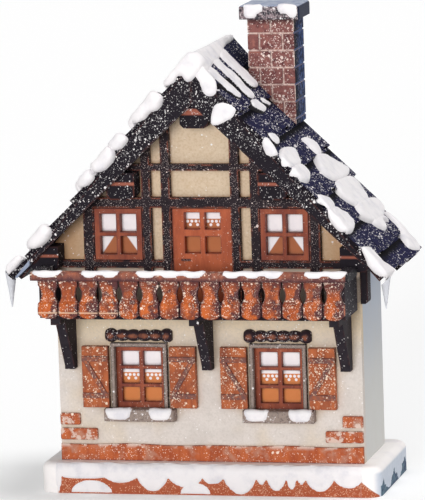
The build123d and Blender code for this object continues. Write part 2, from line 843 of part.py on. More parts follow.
# Chimney
def make_chimney():
    """Brick stack scribed to the shingle rows, with raked joints."""
    x0 = chimney_x - chimney_width / 2
    x1 = chimney_x + chimney_width / 2
    y1 = roof_back - chimney_back_inset
    y0 = y1 - chimney_depth
    low = roof_height(x1, 0)
    stack = block(x0, x1, y0, y1, low, chimney_top_z)
    clear = Pos(glue_gap * (pitch_sin + pitch_cos), 0, glue_gap * (pitch_cos - pitch_sin))
    scribed = stack - clear * slab(roof_steps(), roof_front, roof_back + overrun)
    stack = scribed.solids().sort_by(SortBy.VOLUME)[-1]
    joints = []
    course = 0
    z = chimney_top_z - top_course
    lowest_joint = roof_height(x1, shingle_tip) + 2 * mortar_width
    while z > lowest_joint:
        outer = block(x0 - overrun, x1 + overrun, y0 - overrun, y1 + overrun,
                      z - mortar_width / 2, z + mortar_width / 2)
        core = block(x0 + mortar_depth, x1 - mortar_depth, y0 + mortar_depth, y1 - mortar_depth,
                     z - mortar_width, z + mortar_width)
        joints.append(outer - core)
        for share in (odd_joint_shares if course % 2 else even_joint_shares):
            x = x0 + share * chimney_width
            joints.append(block(x - mortar_width / 2, x + mortar_width / 2, y0 - overrun, y0 + mortar_depth,
                                z, z + brick_course))
        z -= brick_course
        course += 1
    return stack - joints


def make_chimney_cap():
    x0 = chimney_x - chimney_width / 2 - cap_overhang
    x1 = chimney_x + chimney_width / 2 + cap_overhang
    y1 = roof_back
    y0 = y1 - chimney_back_inset - chimney_depth - cap_overhang
    cap = block(x0, x1, y0, y1, chimney_top_z, chimney_top_z + cap_thick)
    edges = cap.edges().group_by(Axis.Z)[1] + cap.edges().group_by(Axis.Z)[2]
    return fillet(edges, cap_edge_radius)


# Icicles
def make_icicle(setback, inset):
    """Drop that hangs from the eave row at the right."""
    top = roof_height(eave_half_width, shingle_tip) + icicle_radius
    half_length = (icicle_length + icicle_radius) / 2
    root = Pos(0, 0, half_length / 2) * Cone(icicle_waist_radius, icicle_radius, half_length)
    point = Pos(0, 0, -half_length / 2) * Cone(icicle_tip_radius, icicle_waist_radius, half_length)
    drop = Pos(eave_half_width - inset, roof_front + setback, top - half_length) * (root + point)
    end = slope_length + glue_gap
    above_eave = [roof_point(end, eave_row_length), roof_point(end, -eave_row_length),
                  roof_point(0, -eave_row_length), roof_point(0, eave_row_length)]
    return drop - slab(above_eave, roof_front - overrun, roof_back)


# Lamp unit in the base
def make_battery_box():
    """Box for two cells, open below, with a chamber for the switch at its left end."""
    y0 = inside_middle - box_half
    y1 = inside_middle + box_half
    body = block(box_left, box_right, y0, y1, box_rim_lift, box_top)
    flange = block(box_left - box_end_flange, box_right + box_end_flange, y0 - box_flange, y1 + box_flange,
                   base_thick, base_thick + box_flange_sheet)
    body = body + flange
    body -= block_about(0, cavity_half, inside_middle, cavity_wide / 2, -overrun, cavity_top)
    room = switch_room / 2
    plate_top = switch_plate_lift + switch_plate
    body -= block_about(switch_x, room, inside_middle, cavity_wide / 2, plate_top, cavity_top)
    body -= block_about(switch_x, room, inside_middle, cavity_wide / 2, -overrun, switch_plate_lift)
    slot_half_length = (switch_knob_length + switch_travel) / 2 + switch_play
    body -= block_about(switch_x, switch_knob_width / 2 + switch_play, inside_middle, slot_half_length,
                        -overrun, plate_top + overrun)
    body -= block(cavity_half - overrun, box_right + overrun, inside_middle - lid_half - lid_play,
                  inside_middle + lid_half + lid_play, -overrun, lid_top + lid_play)
    tab_low = lid_top - lid_tab_sheet - lid_play
    for start in lid_tab_starts:
        slot_end = start + lid_tab_length + lid_travel + lid_play
        ledge_end = start + lid_tab_length + lid_play
        body -= block(start - lid_play, slot_end, y0 - overrun, y1 + overrun, tab_low, lid_top + lid_play)
        body -= block(ledge_end, slot_end, y0 - overrun, y1 + overrun, -overrun, lid_top)
    for x, y in boss_places:
        body += Pos(x, y, box_top + board_boss_height / 2) * Cylinder(board_boss_radius, board_boss_height)
    for x in screw_places:
        body -= Pos(x, inside_middle, base_thick) * Cylinder(screw_radius + screw_play, 2 * overrun)
    for x, y in tab_places:
        body -= block_about(x, contact_sheet / 2 + cell_play, y, contact_tab_width / 2 + cell_play,
                            cavity_top - overrun, box_top + overrun)
    return body


def make_cells():
    """Two cells side by side, facing opposite ways, each against its spring."""
    barrel_length = cell_length - cell_nub_length
    cells = []
    for side in (-1, 1):
        spring_end = side * (cavity_half - contact_sheet - spring_length)
        shoulder = spring_end - side * barrel_length
        barrel = Pos((spring_end + shoulder) / 2, 0, 0) * Rot(0, quarter_turn, 0)
        barrel = barrel * Cylinder(cell_diameter / 2, barrel_length)
        nub = Pos(shoulder - side * cell_nub_length / 2, 0, 0) * Rot(0, quarter_turn, 0)
        nub = nub * Cylinder(cell_nub_diameter / 2, cell_nub_length)
        place = Pos(0, inside_middle + side * cell_offset, cell_axis_z)
        cells.append(place * (barrel + nub))
    return Compound(children=cells)


def make_contacts():
    """A bridge at the left end of the cells, and two tabbed plates at the right end."""
    low = cell_axis_z - contact_height / 2
    high = cell_axis_z + contact_height / 2
    half_sheet = contact_sheet / 2
    bridge_reach = cell_offset + contact_width / 2
    bridge = block_about(-cavity_half + half_sheet, half_sheet, inside_middle, bridge_reach, low, high)
    plates = []
    for x, y in tab_places:
        plate = block_about(x, half_sheet, y, contact_width / 2, low, high)
        tab = block_about(x, half_sheet, y, contact_tab_width / 2, high, board_low)
        plates.append(plate + tab)
    coil = Cone(spring_foot_radius, spring_tip_radius, spring_length)
    coil_x = cavity_half - contact_sheet - spring_length / 2
    left_coil = Pos(-coil_x, inside_middle - cell_offset, cell_axis_z) * Rot(0, quarter_turn, 0) * coil
    right_coil = Pos(coil_x, inside_middle + cell_offset, cell_axis_z) * Rot(0, -quarter_turn, 0) * coil
    return Compound(children=[bridge + left_coil, plates[0], plates[1] + right_coil])


def make_lid():
    """Flat lid with two tabs on each long edge and grip ribs near its right end."""
    start = -cavity_half + lid_play
    lid = block(start, box_right, inside_middle - lid_half, inside_middle + lid_half, lid_lift, lid_top)
    for tab in lid_tab_starts:
        lid += block(tab, tab + lid_tab_length, inside_middle - lid_half - lid_tab_reach,
                     inside_middle + lid_half + lid_tab_reach, lid_top - lid_tab_sheet, lid_top)
    for rib in range(lid_grip_ribs):
        x = box_right - (rib + 1) * lid_grip_pitch
        lid -= block(x - lid_grip_width / 2, x + lid_grip_width / 2, inside_middle - lid_grip_length / 2,
                     inside_middle + lid_grip_length / 2, -overrun, lid_lift + lid_grip_depth)
    return lid


def make_switch_slider():
    """Knob that shows through the slot, with a wider head resting on the plate above it."""
    floor = switch_plate_lift + switch_plate + glue_gap
    knob = block_about(switch_x, switch_knob_width / 2, switch_y, switch_knob_length / 2,
                       switch_knob_lift, floor)
    head = block_about(switch_x, switch_head_width / 2, switch_y, switch_head_length / 2,
                       floor, floor + switch_head_height)
    return knob + head


def make_screws():
    seat = base_thick + box_flange_sheet
    shank = Pos(0, 0, -screw_length / 2) * Cylinder(screw_radius, screw_length)
    head = Pos(0, 0, screw_head_height / 2) * Cylinder(screw_head_radius, screw_head_height)
    return Compound(children=[Pos(x, inside_middle, seat) * (shank + head) for x in screw_places])


def make_lamp_board():
    return block(box_left, box_right, inside_middle - board_width / 2, inside_middle + board_width / 2,
                 board_low, board_low + board_sheet)


def make_lamp():
    """Round-headed lamp on the middle of the board."""
    flange = Pos(0, 0, lamp_flange_height / 2) * Cylinder(lamp_flange_radius, lamp_flange_height)
    barrel = Pos(0, 0, lamp_length / 2) * Cylinder(lamp_radius, lamp_length)
    dome = Pos(0, 0, lamp_length) * Sphere(lamp_radius)
    return Pos(0, inside_middle, board_low + board_sheet) * (flange + barrel + dome)


pieces = {
    "base_plate": make_base(),
    "front_wall": make_front_wall(),
    "back_wall": make_back_wall(),
    "side_wall_left": mirrored(make_side_wall()),
    "side_wall_right": make_side_wall(),
    "gable_panel": make_gable_panel(),
    "timber_frame": make_timber_frame(),
    "balcony_door": make_door(),
    "balcony_door_pane": make_door_pane(),
    "brick_relief": make_brick_relief(),
    "balcony_floor": make_balcony_floor(),
    "balcony_railing": make_railing(),
    "balcony_end_left": mirrored(make_balcony_end()),
    "balcony_end_right": make_balcony_end(),
    "balcony_handrail": make_handrail(),
    "bracket_middle": make_bracket(0),
    "purlin_end_top": make_purlin_end(-top_purlin_half_width, top_purlin_half_width, top_purlin_z,
                                      top_purlin_z + top_purlin_height),
    "eave_purlin_left": mirrored(make_eave_purlin()),
    "eave_purlin_right": make_eave_purlin(),
    "corner_posts": make_corner_posts(),
    "roof_board_left": mirrored(make_roof_board()),
    "roof_board_right": make_roof_board(),
    "shingle_rows_left": mirrored(make_shingles(1)),
    "shingle_rows_right": make_shingles(0),
    "bargeboard_left": mirrored(make_bargeboard()),
    "bargeboard_right": make_bargeboard(),
    "chimney_stack": make_chimney(),
    "chimney_cap": make_chimney_cap(),
    "icicles": Compound(children=[mirrored(make_icicle(left_icicle_setback, left_icicle_inset)),
                                  make_icicle(right_icicle_setback, right_icicle_inset)]),
    "upper_window_panes": Compound(children=[make_upper_pane(-upper_window_x),
                                             make_upper_pane(upper_window_x)]),
    "lower_window_panes": Compound(children=[make_lower_pane(-window_x), make_lower_pane(window_x)]),
    "battery_box": make_battery_box(),
    "battery_cells": make_cells(),
    "battery_contacts": make_contacts(),
    "battery_lid": make_lid(),
    "switch_slider": make_switch_slider(),
    "box_screws": make_screws(),
    "lamp_board": make_lamp_board(),
    "lamp": make_lamp(),
}

for name, side in (("left", -1), ("right", 1)):
    pieces["upper_window_frame_" + name] = make_upper_frame(side * upper_window_x)
    pieces["window_surround_" + name] = make_surround(side * window_x)
    pieces["lower_window_frame_" + name] = make_lower_frame(side * window_x)
    pieces["window_lintel_" + name] = make_lintel(side * window_x)
    pieces["window_sill_" + name] = make_sill(side * window_x)
    pieces["shutter_" + name + "_outer"] = make_shutter(side * window_x, side)
    pieces["shutter_" + name + "_inner"] = make_shutter(side * window_x, -side)
    pieces["bracket_" + name] = make_bracket(side * bracket_x)
    middle_x = side * middle_purlin_x
    pieces["purlin_end_" + name] = make_purlin_end(
        middle_x - middle_purlin_width / 2, middle_x + middle_purlin_width / 2,
        mid_beam_z + mid_beam_height + glue_gap, high_beam_z - glue_gap)

os.makedirs("parts", exist_ok=True)
for name, piece in pieces.items():
    export_step(piece, "parts/" + name + ".step")
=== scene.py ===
import bpy
import math
import numpy as np
from mathutils import Matrix, Vector, noise
from mathutils.geometry import delaunay_2d_cdt


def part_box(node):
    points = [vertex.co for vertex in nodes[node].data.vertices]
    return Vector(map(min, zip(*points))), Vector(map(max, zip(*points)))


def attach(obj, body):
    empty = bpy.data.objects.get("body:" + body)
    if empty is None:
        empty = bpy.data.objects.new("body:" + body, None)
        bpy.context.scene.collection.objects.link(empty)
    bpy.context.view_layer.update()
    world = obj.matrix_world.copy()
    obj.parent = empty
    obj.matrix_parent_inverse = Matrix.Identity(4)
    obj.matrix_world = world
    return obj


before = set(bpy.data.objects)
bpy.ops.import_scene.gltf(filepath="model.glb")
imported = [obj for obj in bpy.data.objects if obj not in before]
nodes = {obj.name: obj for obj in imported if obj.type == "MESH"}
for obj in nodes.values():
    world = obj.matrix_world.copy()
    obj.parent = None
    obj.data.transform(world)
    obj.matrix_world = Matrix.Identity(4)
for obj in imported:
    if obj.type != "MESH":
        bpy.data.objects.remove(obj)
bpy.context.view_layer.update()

MM = 0.001
PER_MM = 1000.0
BACKWARDS = Vector((0, 1, 0))
UP = Vector((0, 0, 1))
RIGHT = Vector((1, 0, 0))


def edges_of(node):
    """Lowest and highest corner of a CAD node, in mm."""
    low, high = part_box(node)
    return low * PER_MM, high * PER_MM


# Camera: where the photo was taken from, lengths in mm
camera_target = Vector((2.8, -12.0, 97.7))
camera_turn = math.radians(13.36)
camera_rise = math.radians(8.9)
camera_roll = math.radians(-1.85)
camera_distance = 1896.5
camera_lens = 344.5

# Roof, lengths in mm. Splashes on the shingles are drawn out towards the back by 1 / shingle_smear, and
# the left eave is icy beyond barge_ice
roof_front = edges_of("shingle_rows_right")[0].y
roof_pitch = math.radians(48.6)
ridge_height = 177.2
down_right = Vector((math.cos(roof_pitch), 0, -math.sin(roof_pitch)))
out_right = Vector((math.sin(roof_pitch), 0, math.cos(roof_pitch)))
down_left = Vector((-down_right.x, 0, down_right.z))
out_left = Vector((-out_right.x, 0, out_right.z))
shingle_row_pitch = 15.31
shingle_smear = 0.42
barge_ice = -67.5

# Chimney, lengths in mm. Its courses are counted from far below the stack, to stay above nought
cap_low, cap_high = edges_of("chimney_cap")
stack_low, stack_high = edges_of("chimney_stack")
brick_course = 6.9
top_course = 5.9
brick_width = 9.5
courses_counted = 31
first_course = stack_high.z - top_course - courses_counted * brick_course

# Heights in mm of the band on the front of each kind of purlin end that carries a painted reddish
# highlight
purlin_front = edges_of("purlin_end_top")[0].y
top_highlight = (153.4, 155.8)
middle_highlight = (125.4, 126.6)
eave_highlight = (96.6, 97.6)

# Where the paint of the walls changes, in mm: where each change starts and ends
wall_warmth_and_light = (52.0, 72.0)
side_wall_shade_heights = (30.0, 90.0)
gable_fields = (14.0, 16.0)
gable_eaves = (40.0, 56.0)
gable_foot_light = (93.0, 92.0)
gable_shade = (88.5, 86.5)
brick_drifts = (17.0, 19.0)

# Balcony, shutters and sills, lengths in mm
rail_low, rail_high = edges_of("balcony_handrail")
rail_depth = 4.8
railing_low, railing_high = edges_of("balcony_railing")
railing_boards = 15
board_pitch = (railing_high.x - railing_low.x) / railing_boards
# Heights of the handrail's painted shadow on the board heads, then heights and ends of a painted
# highlight low on the left boards
handrail_shadow_heights = (83.0, 90.0)
glint_heights = (77.0, 77.5)
glint_ends = (-24.0, -30.0)
batten_fronts = (-15.25, -15.4)
sill_low, sill_high = edges_of("window_sill_left")
door_front = edges_of("balcony_door")[0].y
handle_place = Vector((-7.0, door_front - 0.3, 94.4))
handle_size = Vector((3.6, 0.8, 0.7))

# Lace printed on the panes, in mm: how far each row of dots hangs below its strip, and the row's pitch
lace_rows = {1.0: 1.7, 2.4: 2.9}
lace_dot = 0.6
window_low, window_high = edges_of("lower_window_frame_right")
window_centre = (window_low.x + window_high.x) / 2
window_pane_centre = 4.5
window_lace_bottom = 47.4
door_pane_centre = 4.15
door_lace_bottom = 110.4

# Curtains printed on the upper panes, in mm: how far apart they hang at their foot and at their head
upper_window_centre = 33.7
curtain_foot, curtain_head = 96.9, 104.4
foot_gap, head_gap = 7.4, 2.2

# Base, lengths in mm
base_low, base_high = edges_of("base_plate")
clay_half = 62.0
clay_top = 8.4
corner_slant = 0.85
tree_pitch = 22.0
tree_setback = 7.0
tree_height = 6.0
tree_ragged = 8.0
# Painted lilac shade on the right side of the base, across and in height
base_side_shade_across = (66.0, 69.0)
base_side_shade_heights = (10.5, 9.0)


def tone(red, green, blue):
    """A colour as it looks on screen, 0 to 255, as the linear value the shader takes."""
    def linear(value):
        share = value / 255
        return share / 12.92 if share <= 0.04045 else ((share + 0.055) / 1.055) ** 2.4
    return (linear(red), linear(green), linear(blue), 1.0)


SNOW = tone(240, 236, 237)
SNOW_SHADE = tone(222, 219, 224)
WHITE = tone(245, 240, 240)
BLACK_WOOD = tone(22, 19, 25)
WORN_RED = tone(134, 72, 54)
CHARRED = tone(70, 42, 50)
AMBER = tone(190, 108, 52)
PANE_WHITE = tone(236, 230, 230)
WOOD_SPLASH = tone(242, 222, 204)


class Paint:
    """One node material, its coordinates in mm of the shared frame."""

    def __init__(self, name):
        self.material = bpy.data.materials.new(name)
        self.material.use_nodes = True
        self.tree = self.material.node_tree
        self.tree.nodes.clear()
        place = self.add("ShaderNodeTexCoord").outputs["Object"]
        scaled = self.add("ShaderNodeVectorMath", {0: place, 3: PER_MM}, operation="SCALE")
        self.mm = scaled.outputs[0]
        self.x, self.y, self.z = self.parts_of(self.mm)
        self.normal = self.add("ShaderNodeNewGeometry").outputs["Normal"]

    def add(self, kind, inputs=None, **settings):
        made = self.tree.nodes.new(kind)
        for key, value in settings.items():
            setattr(made, key, value)
        for key, value in (inputs or {}).items():
            if isinstance(value, bpy.types.NodeSocket):
                self.tree.links.new(value, made.inputs[key])
            else:
                made.inputs[key].default_value = value
        return made

    def parts_of(self, vector):
        return self.add("ShaderNodeSeparateXYZ", {0: vector}).outputs[:3]

    def math(self, operation, *values):
        return self.add("ShaderNodeMath", dict(enumerate(values)), operation=operation).outputs[0]

    def both(self, first, second):
        """Where two masks overlap, or a share of one mask."""
        return self.math("MULTIPLY", first, second)

    def either(self, first, second):
        return self.math("MAXIMUM", first, second)

    def mix(self, share, first, second):
        made = self.add("ShaderNodeMix", {0: share, 6: first, 7: second}, data_type="RGBA")
        return made.outputs[2]

    def layer(self, colour, over, mask, share=1.0):
        """A colour with a share of another laid over it where the mask is."""
        if share != 1.0:
            mask = self.both(mask, share)
        return self.mix(mask, colour, over)

    def step(self, value, start, end):
        """0 at start and 1 at end, eased."""
        made = self.add("ShaderNodeMapRange", {0: value, 1: start, 2: end},
                        interpolation_type="SMOOTHSTEP")
        return made.outputs[0]

    def between(self, value, low, high, soft):
        rise = self.step(value, low - soft, low + soft)
        fall = self.step(value, high + soft, high - soft)
        return self.both(rise, fall)

    def aside(self, centre):
        """Distance from the middle of a piece that stands at this x on each side of the house."""
        return self.math("ABSOLUTE", self.math("SUBTRACT", self.math("ABSOLUTE", self.x), centre))

    def stretched(self, across, deep, tall):
        return self.add("ShaderNodeVectorMath", {0: self.mm, 1: (across, deep, tall)},
                        operation="MULTIPLY").outputs[0]

    def noise(self, size, detail=4.0, place=None):
        made = self.add("ShaderNodeTexNoise", {"Vector": place or self.mm, "Scale": 1 / size,
                                               "Detail": detail, "Roughness": 0.6})
        return made.outputs["Fac"]

    def patches(self, size, low, high, detail=4.0):
        """Soft patches of about this size: 0 where the noise is below low, 1 where it is above high."""
        return self.step(self.noise(size, detail), low, high)

    def wander(self, reach, value):
        """A noise turned into a shift to both sides of nought."""
        return self.math("MULTIPLY_ADD", value, reach, -reach / 2)

    def specks(self, cell, share, largest=0.45, place=None):
        """Splashed dots: one to a cell, in this share of the cells, of mixed sizes and strengths."""
        place = place or self.mm
        wobble = self.add("ShaderNodeTexNoise", {"Vector": place, "Scale": 1.6 / cell, "Detail": 2.0})
        moved = self.add("ShaderNodeVectorMath", {0: wobble.outputs["Color"], 1: (0.4 * cell,) * 3,
                                                  2: place}, operation="MULTIPLY_ADD").outputs[0]
        cells = self.add("ShaderNodeTexVoronoi", {"Vector": moved, "Scale": 1 / cell})
        chance = self.add("ShaderNodeSeparateColor", {0: cells.outputs["Color"]})
        size = self.math("MULTIPLY", chance.outputs[1], largest)
        dot = self.math("LESS_THAN", cells.outputs["Distance"], size)
        here = self.math("MULTIPLY", self.patches(14.0, 0.25, 0.7, 2.0), 2 * share)
        chosen = self.math("LESS_THAN", chance.outputs[0], here)
        strength = self.math("MULTIPLY_ADD", chance.outputs[2], 0.75, 0.25)
        return self.both(self.both(dot, chosen), strength)

    def edges(self, radius):
        """1 on outer and inner edges, 0 on flat faces."""
        bevel = self.add("ShaderNodeBevel", {"Radius": radius * MM}, samples=6).outputs[0]
        flat = self.add("ShaderNodeVectorMath", {0: bevel, 1: self.normal},
                        operation="DOT_PRODUCT").outputs["Value"]
        return self.step(flat, 0.995, 0.86)

    def corners(self, reach):
        """Painted shade: 1 deep in corners, where little light reaches, 0 in the open."""
        made = self.add("ShaderNodeAmbientOcclusion", {"Distance": reach * MM}, samples=8)
        return self.step(made.outputs["AO"], 0.9, 0.25)

    def finish(self, colour, rough, height, depth, **extra):
        """The material: a colour, its roughness, a relief of this depth in mm, and other inputs."""
        shader = self.add("ShaderNodeBsdfPrincipled", {"Base Color": colour, "Roughness": rough,
                                                       "Specular IOR Level": 0.2})
        for key, value in extra.items():
            shader.inputs[key.replace("_", " ")].default_value = value
        bump = self.add("ShaderNodeBump", {"Height": height, "Distance": depth * MM, "Strength": 0.8})
        self.tree.links.new(bump.outputs[0], shader.inputs["Normal"])
        out = self.add("ShaderNodeOutputMaterial")
        self.tree.links.new(shader.outputs[0], out.inputs["Surface"])
        return self.material


def flecked(paint, colour, share, tint=WHITE, where=None, size=1.0, place=None):
    """Splashes of snow paint, fine and coarse, over a share of a colour."""
    fine = paint.specks(0.5 * size, 1.4 * share, place=place)
    middle = paint.specks(0.95 * size, 0.9 * share, place=place)
    coarse = paint.specks(2.1 * size, 0.24 * share, 0.32, place)
    all_sizes = paint.either(paint.either(fine, middle), coarse)
    if where is not None:
        all_sizes = paint.both(all_sizes, where)
    return paint.layer(colour, tint, all_sizes)


def snow_paint(name, rim_shade=0.0):
    """Snow paste; with rim_shade, painted shade darkens it from its rim up to that share of the way in.
    """
    paint = Paint(name)
    colour = paint.mix(paint.patches(7.0, 0.45, 0.75), SNOW, SNOW_SHADE)
    if rim_shade:
        # Painted shade: the rim goes dark where the pillow meets what it lies on
        depth = paint.add("ShaderNodeAttribute", attribute_name="rim").outputs["Fac"]
        colour = paint.layer(colour, BLACK_WOOD, paint.step(depth, rim_shade, rim_shade - 0.08))
    return paint.finish(colour, 0.62, paint.noise(0.7, 3.0), 0.12)


def clay_foot(paint):
    """Terracotta with fine splashes."""
    clay = paint.mix(paint.noise(2.2), tone(153, 72, 45), tone(188, 98, 63))
    return flecked(paint, clay, 0.42, tone(228, 186, 156))


def clay_front(paint):
    """The field of clay on the front of the base, as a mask."""
    face = paint.step(paint.y, base_low.y + 0.5, base_low.y + 0.2)
    width = paint.between(paint.x, -clay_half, clay_half, 0.6)
    height = paint.step(paint.z, clay_top + 0.3, clay_top - 0.3)
    return paint.both(paint.both(face, width), height)


def clay_corner(paint):
    """Where the clay ends on the rounded right corner of the base, under a slant, as a mask."""
    corner = paint.both(paint.step(paint.x, clay_half - 1.0, clay_half),
                        paint.step(paint.y, base_low.y + 3.2, base_low.y + 2.6))
    slant = paint.math("MULTIPLY_ADD", paint.x, -corner_slant, corner_slant * base_high.x)
    return paint.both(corner, paint.step(paint.math("SUBTRACT", slant, paint.z), -0.2, 0.4))


def side_trees(paint):
    """A row of broad dark trees with ragged tops on the right side of the base, as a mask."""
    half = tree_pitch / 2
    first_dip = base_low.y + tree_setback - half
    swing = paint.math("PINGPONG", paint.math("SUBTRACT", paint.y, first_dip), half)
    ragged = paint.wander(tree_ragged, paint.noise(1.6, 3.0, paint.stretched(1.0, 0.3, 0.6)))
    top = paint.math("MULTIPLY_ADD", swing, tree_height / half, ragged)
    tree = paint.step(paint.math("SUBTRACT", top, paint.z), 0.0, 0.5)
    return paint.both(tree, paint.step(paint.x, base_high.x - 0.6, base_high.x - 0.3))


def base_paint():
    """Snow, with painted lilac shade and trees on the right side and clay along the front."""
    paint = Paint("base_paint")
    colour = paint.mix(paint.patches(9.0, 0.45, 0.75), tone(250, 245, 243), tone(240, 235, 236))
    # Painted shade: lilac on the right side of the base
    base_side_shade = paint.both(paint.step(paint.x, *base_side_shade_across), paint.step(paint.z, *base_side_shade_heights))
    lilac = paint.mix(paint.noise(3.0), tone(186, 196, 210), tone(218, 222, 232))
    colour = paint.layer(colour, lilac, base_side_shade)
    forest = paint.mix(paint.patches(2.0, 0.35, 0.65), tone(40, 54, 88), tone(92, 120, 134))
    colour = paint.layer(colour, forest, side_trees(paint))
    clay = paint.either(clay_front(paint), clay_corner(paint))
    colour = paint.layer(colour, clay_foot(paint), clay)
    return paint.finish(colour, 0.65, paint.noise(0.8, 3.0), 0.12)


def grainy(paint, colour, share, shade):
    """Fine plaster grain over a colour."""
    return paint.layer(colour, shade, paint.patches(0.9, 0.4, 0.7, 2.0), share)


def wall_paint():
    """Pale plaster, warmer in clouds and under the balcony, where the warm tint is kept light as painted
    light against the balcony's shadow, with painted shade in its corners.
    """
    paint = Paint("wall_paint")
    colour = paint.mix(paint.patches(11.0, 0.35, 0.75), tone(222, 213, 206), tone(210, 201, 194))
    # A warm airbrushed tint under the balcony, kept light as painted light against the balcony's shadow
    colour = paint.layer(colour, tone(230, 206, 172), paint.step(paint.z, *wall_warmth_and_light), 0.85)
    colour = paint.layer(colour, tone(224, 204, 172), paint.patches(24.0, 0.45, 0.65, 2.0), 0.4)
    colour = grainy(paint, colour, 0.28, tone(188, 178, 168))
    # Painted shade: brown darkening in the corners
    colour = paint.layer(colour, tone(182, 152, 112), paint.corners(5.0), 0.55)
    return paint.finish(flecked(paint, colour, 0.06), 0.75, paint.noise(0.9), 0.1)


def side_paint():
    """Grey plaster, with painted cool shade that makes it bluer and darker towards the eaves."""
    paint = Paint("side_paint")
    # Painted shade: bluer and darker towards the eaves
    colour = paint.mix(paint.step(paint.z, *side_wall_shade_heights), tone(216, 216, 214), tone(184, 196, 216))
    colour = paint.layer(colour, tone(206, 202, 194), paint.noise(10.0), 0.5)
    return paint.finish(colour, 0.75, paint.noise(0.9), 0.1)


def gable_paint():
    """Cream plaster, browner at the eaves, with painted shade in the corners beside the timber, a strip
    of painted light at its foot above the handrail, and painted shade below that, behind the railing.
    """
    paint = Paint("gable_paint")
    aside = paint.math("ABSOLUTE", paint.x)
    pale = paint.mix(paint.step(aside, *gable_fields), tone(222, 202, 178), tone(238, 212, 184))
    colour = paint.layer(pale, tone(214, 190, 162), paint.noise(8.0))
    colour = paint.layer(colour, tone(206, 176, 142), paint.patches(2.4, 0.5, 0.75), 0.35)
    colour = grainy(paint, colour, 0.4, tone(190, 160, 124))
    # Painted shade: brown darkening in the corners beside the timber
    colour = paint.layer(colour, tone(146, 98, 62), paint.corners(1.9), 0.7)
    colour = paint.layer(colour, tone(186, 140, 98), paint.step(aside, *gable_eaves), 0.75)
    # Painted light: a paler strip at the foot, just above the handrail
    colour = paint.layer(colour, tone(255, 230, 208), paint.step(paint.z, *gable_foot_light))
    # Painted shade behind the railing
    colour = paint.layer(colour, tone(74, 66, 58), paint.step(paint.z, *gable_shade), 0.75)
    return paint.finish(flecked(paint, colour, 0.05), 0.75, paint.noise(0.9), 0.1)


def black_wood(name, fleck_share, worn, band=None, ice_from=None, tint=WHITE, pale=(40, 35, 42)):
    """Scorched wood, reddish where it is rubbed, with splashes of snow, perhaps a painted highlight band
    on its front, and perhaps an icy left end.
    """
    paint = Paint(name)
    colour = paint.mix(paint.noise(4.0), BLACK_WOOD, tone(*pale))
    rubbed = paint.both(paint.edges(1.5), paint.patches(3.5, 0.42, 0.56))
    colour = paint.layer(colour, WORN_RED, rubbed, worn)
    # Painted highlight: a reddish band along the front of a purlin end
    if band:
        front = paint.step(paint.y, purlin_front + 0.5, purlin_front + 0.2)
        lit = paint.both(paint.between(paint.z, *band, 0.4), front)
        colour = paint.layer(colour, tone(176, 104, 84), lit, 0.8)
    colour = flecked(paint, colour, fleck_share, tint)
    if ice_from:
        ice = paint.mix(paint.noise(3.0), tone(100, 118, 150), tone(184, 190, 204))
        colour = paint.layer(colour, ice, paint.step(paint.x, ice_from, ice_from - 1.0))
    return paint.finish(colour, 0.6, paint.noise(0.8), 0.15, Specular_IOR_Level=0.06)


def shingle_paint():
    """Night blue, black on the front ends, with painted shade in black under each row's lap and
    drawn-out splashes outside that shade.
    """
    paint = Paint("shingle_paint")
    across = paint.math("MULTIPLY", paint.math("ABSOLUTE", paint.x), math.cos(roof_pitch))
    below = paint.math("MULTIPLY", paint.math("SUBTRACT", ridge_height, paint.z), math.sin(roof_pitch))
    down = paint.math("ADD", across, below)
    row = paint.math("FRACT", paint.math("DIVIDE", down, shingle_row_pitch))
    # Painted shade: black under the lap of the row above, where no splashes show
    ragged = paint.wander(0.3, paint.noise(2.5))
    out_of_lap_shade = paint.step(paint.math("ADD", row, ragged), 0.08, 0.28)
    colour = paint.mix(paint.noise(5.0), tone(22, 22, 42), tone(44, 44, 78))
    colour = paint.mix(out_of_lap_shade, tone(8, 7, 12), colour)
    _, backward, _ = paint.parts_of(paint.normal)
    colour = paint.layer(colour, tone(28, 24, 30), paint.step(backward, -0.5, -0.8))
    splashed = paint.stretched(1.0, shingle_smear, 1.0)
    colour = flecked(paint, colour, 0.5, where=out_of_lap_shade, size=1.1, place=splashed)
    return paint.finish(colour, 0.7, paint.noise(1.0), 0.25, Specular_IOR_Level=0.02)


def stained(paint, light, dark, scorch, rim=0.8, rim_share=0.7):
    """Stained wood, scorched at its edges and in patches, with painted shade in its corners; gives the
    colour and the grain.
    """
    grain = paint.noise(3.0, 5.0, paint.stretched(1.0, 1.0, 0.25))
    colour = paint.mix(paint.step(grain, 0.3, 0.7), tone(*dark), tone(*light))
    colour = paint.layer(colour, CHARRED, paint.patches(5.0, 0.43, 0.64), scorch)
    colour = paint.layer(colour, CHARRED, paint.edges(rim), rim_share)
    # Painted shade in the corners
    colour = paint.layer(colour, CHARRED, paint.corners(1.6), 0.6)
    return colour, grain


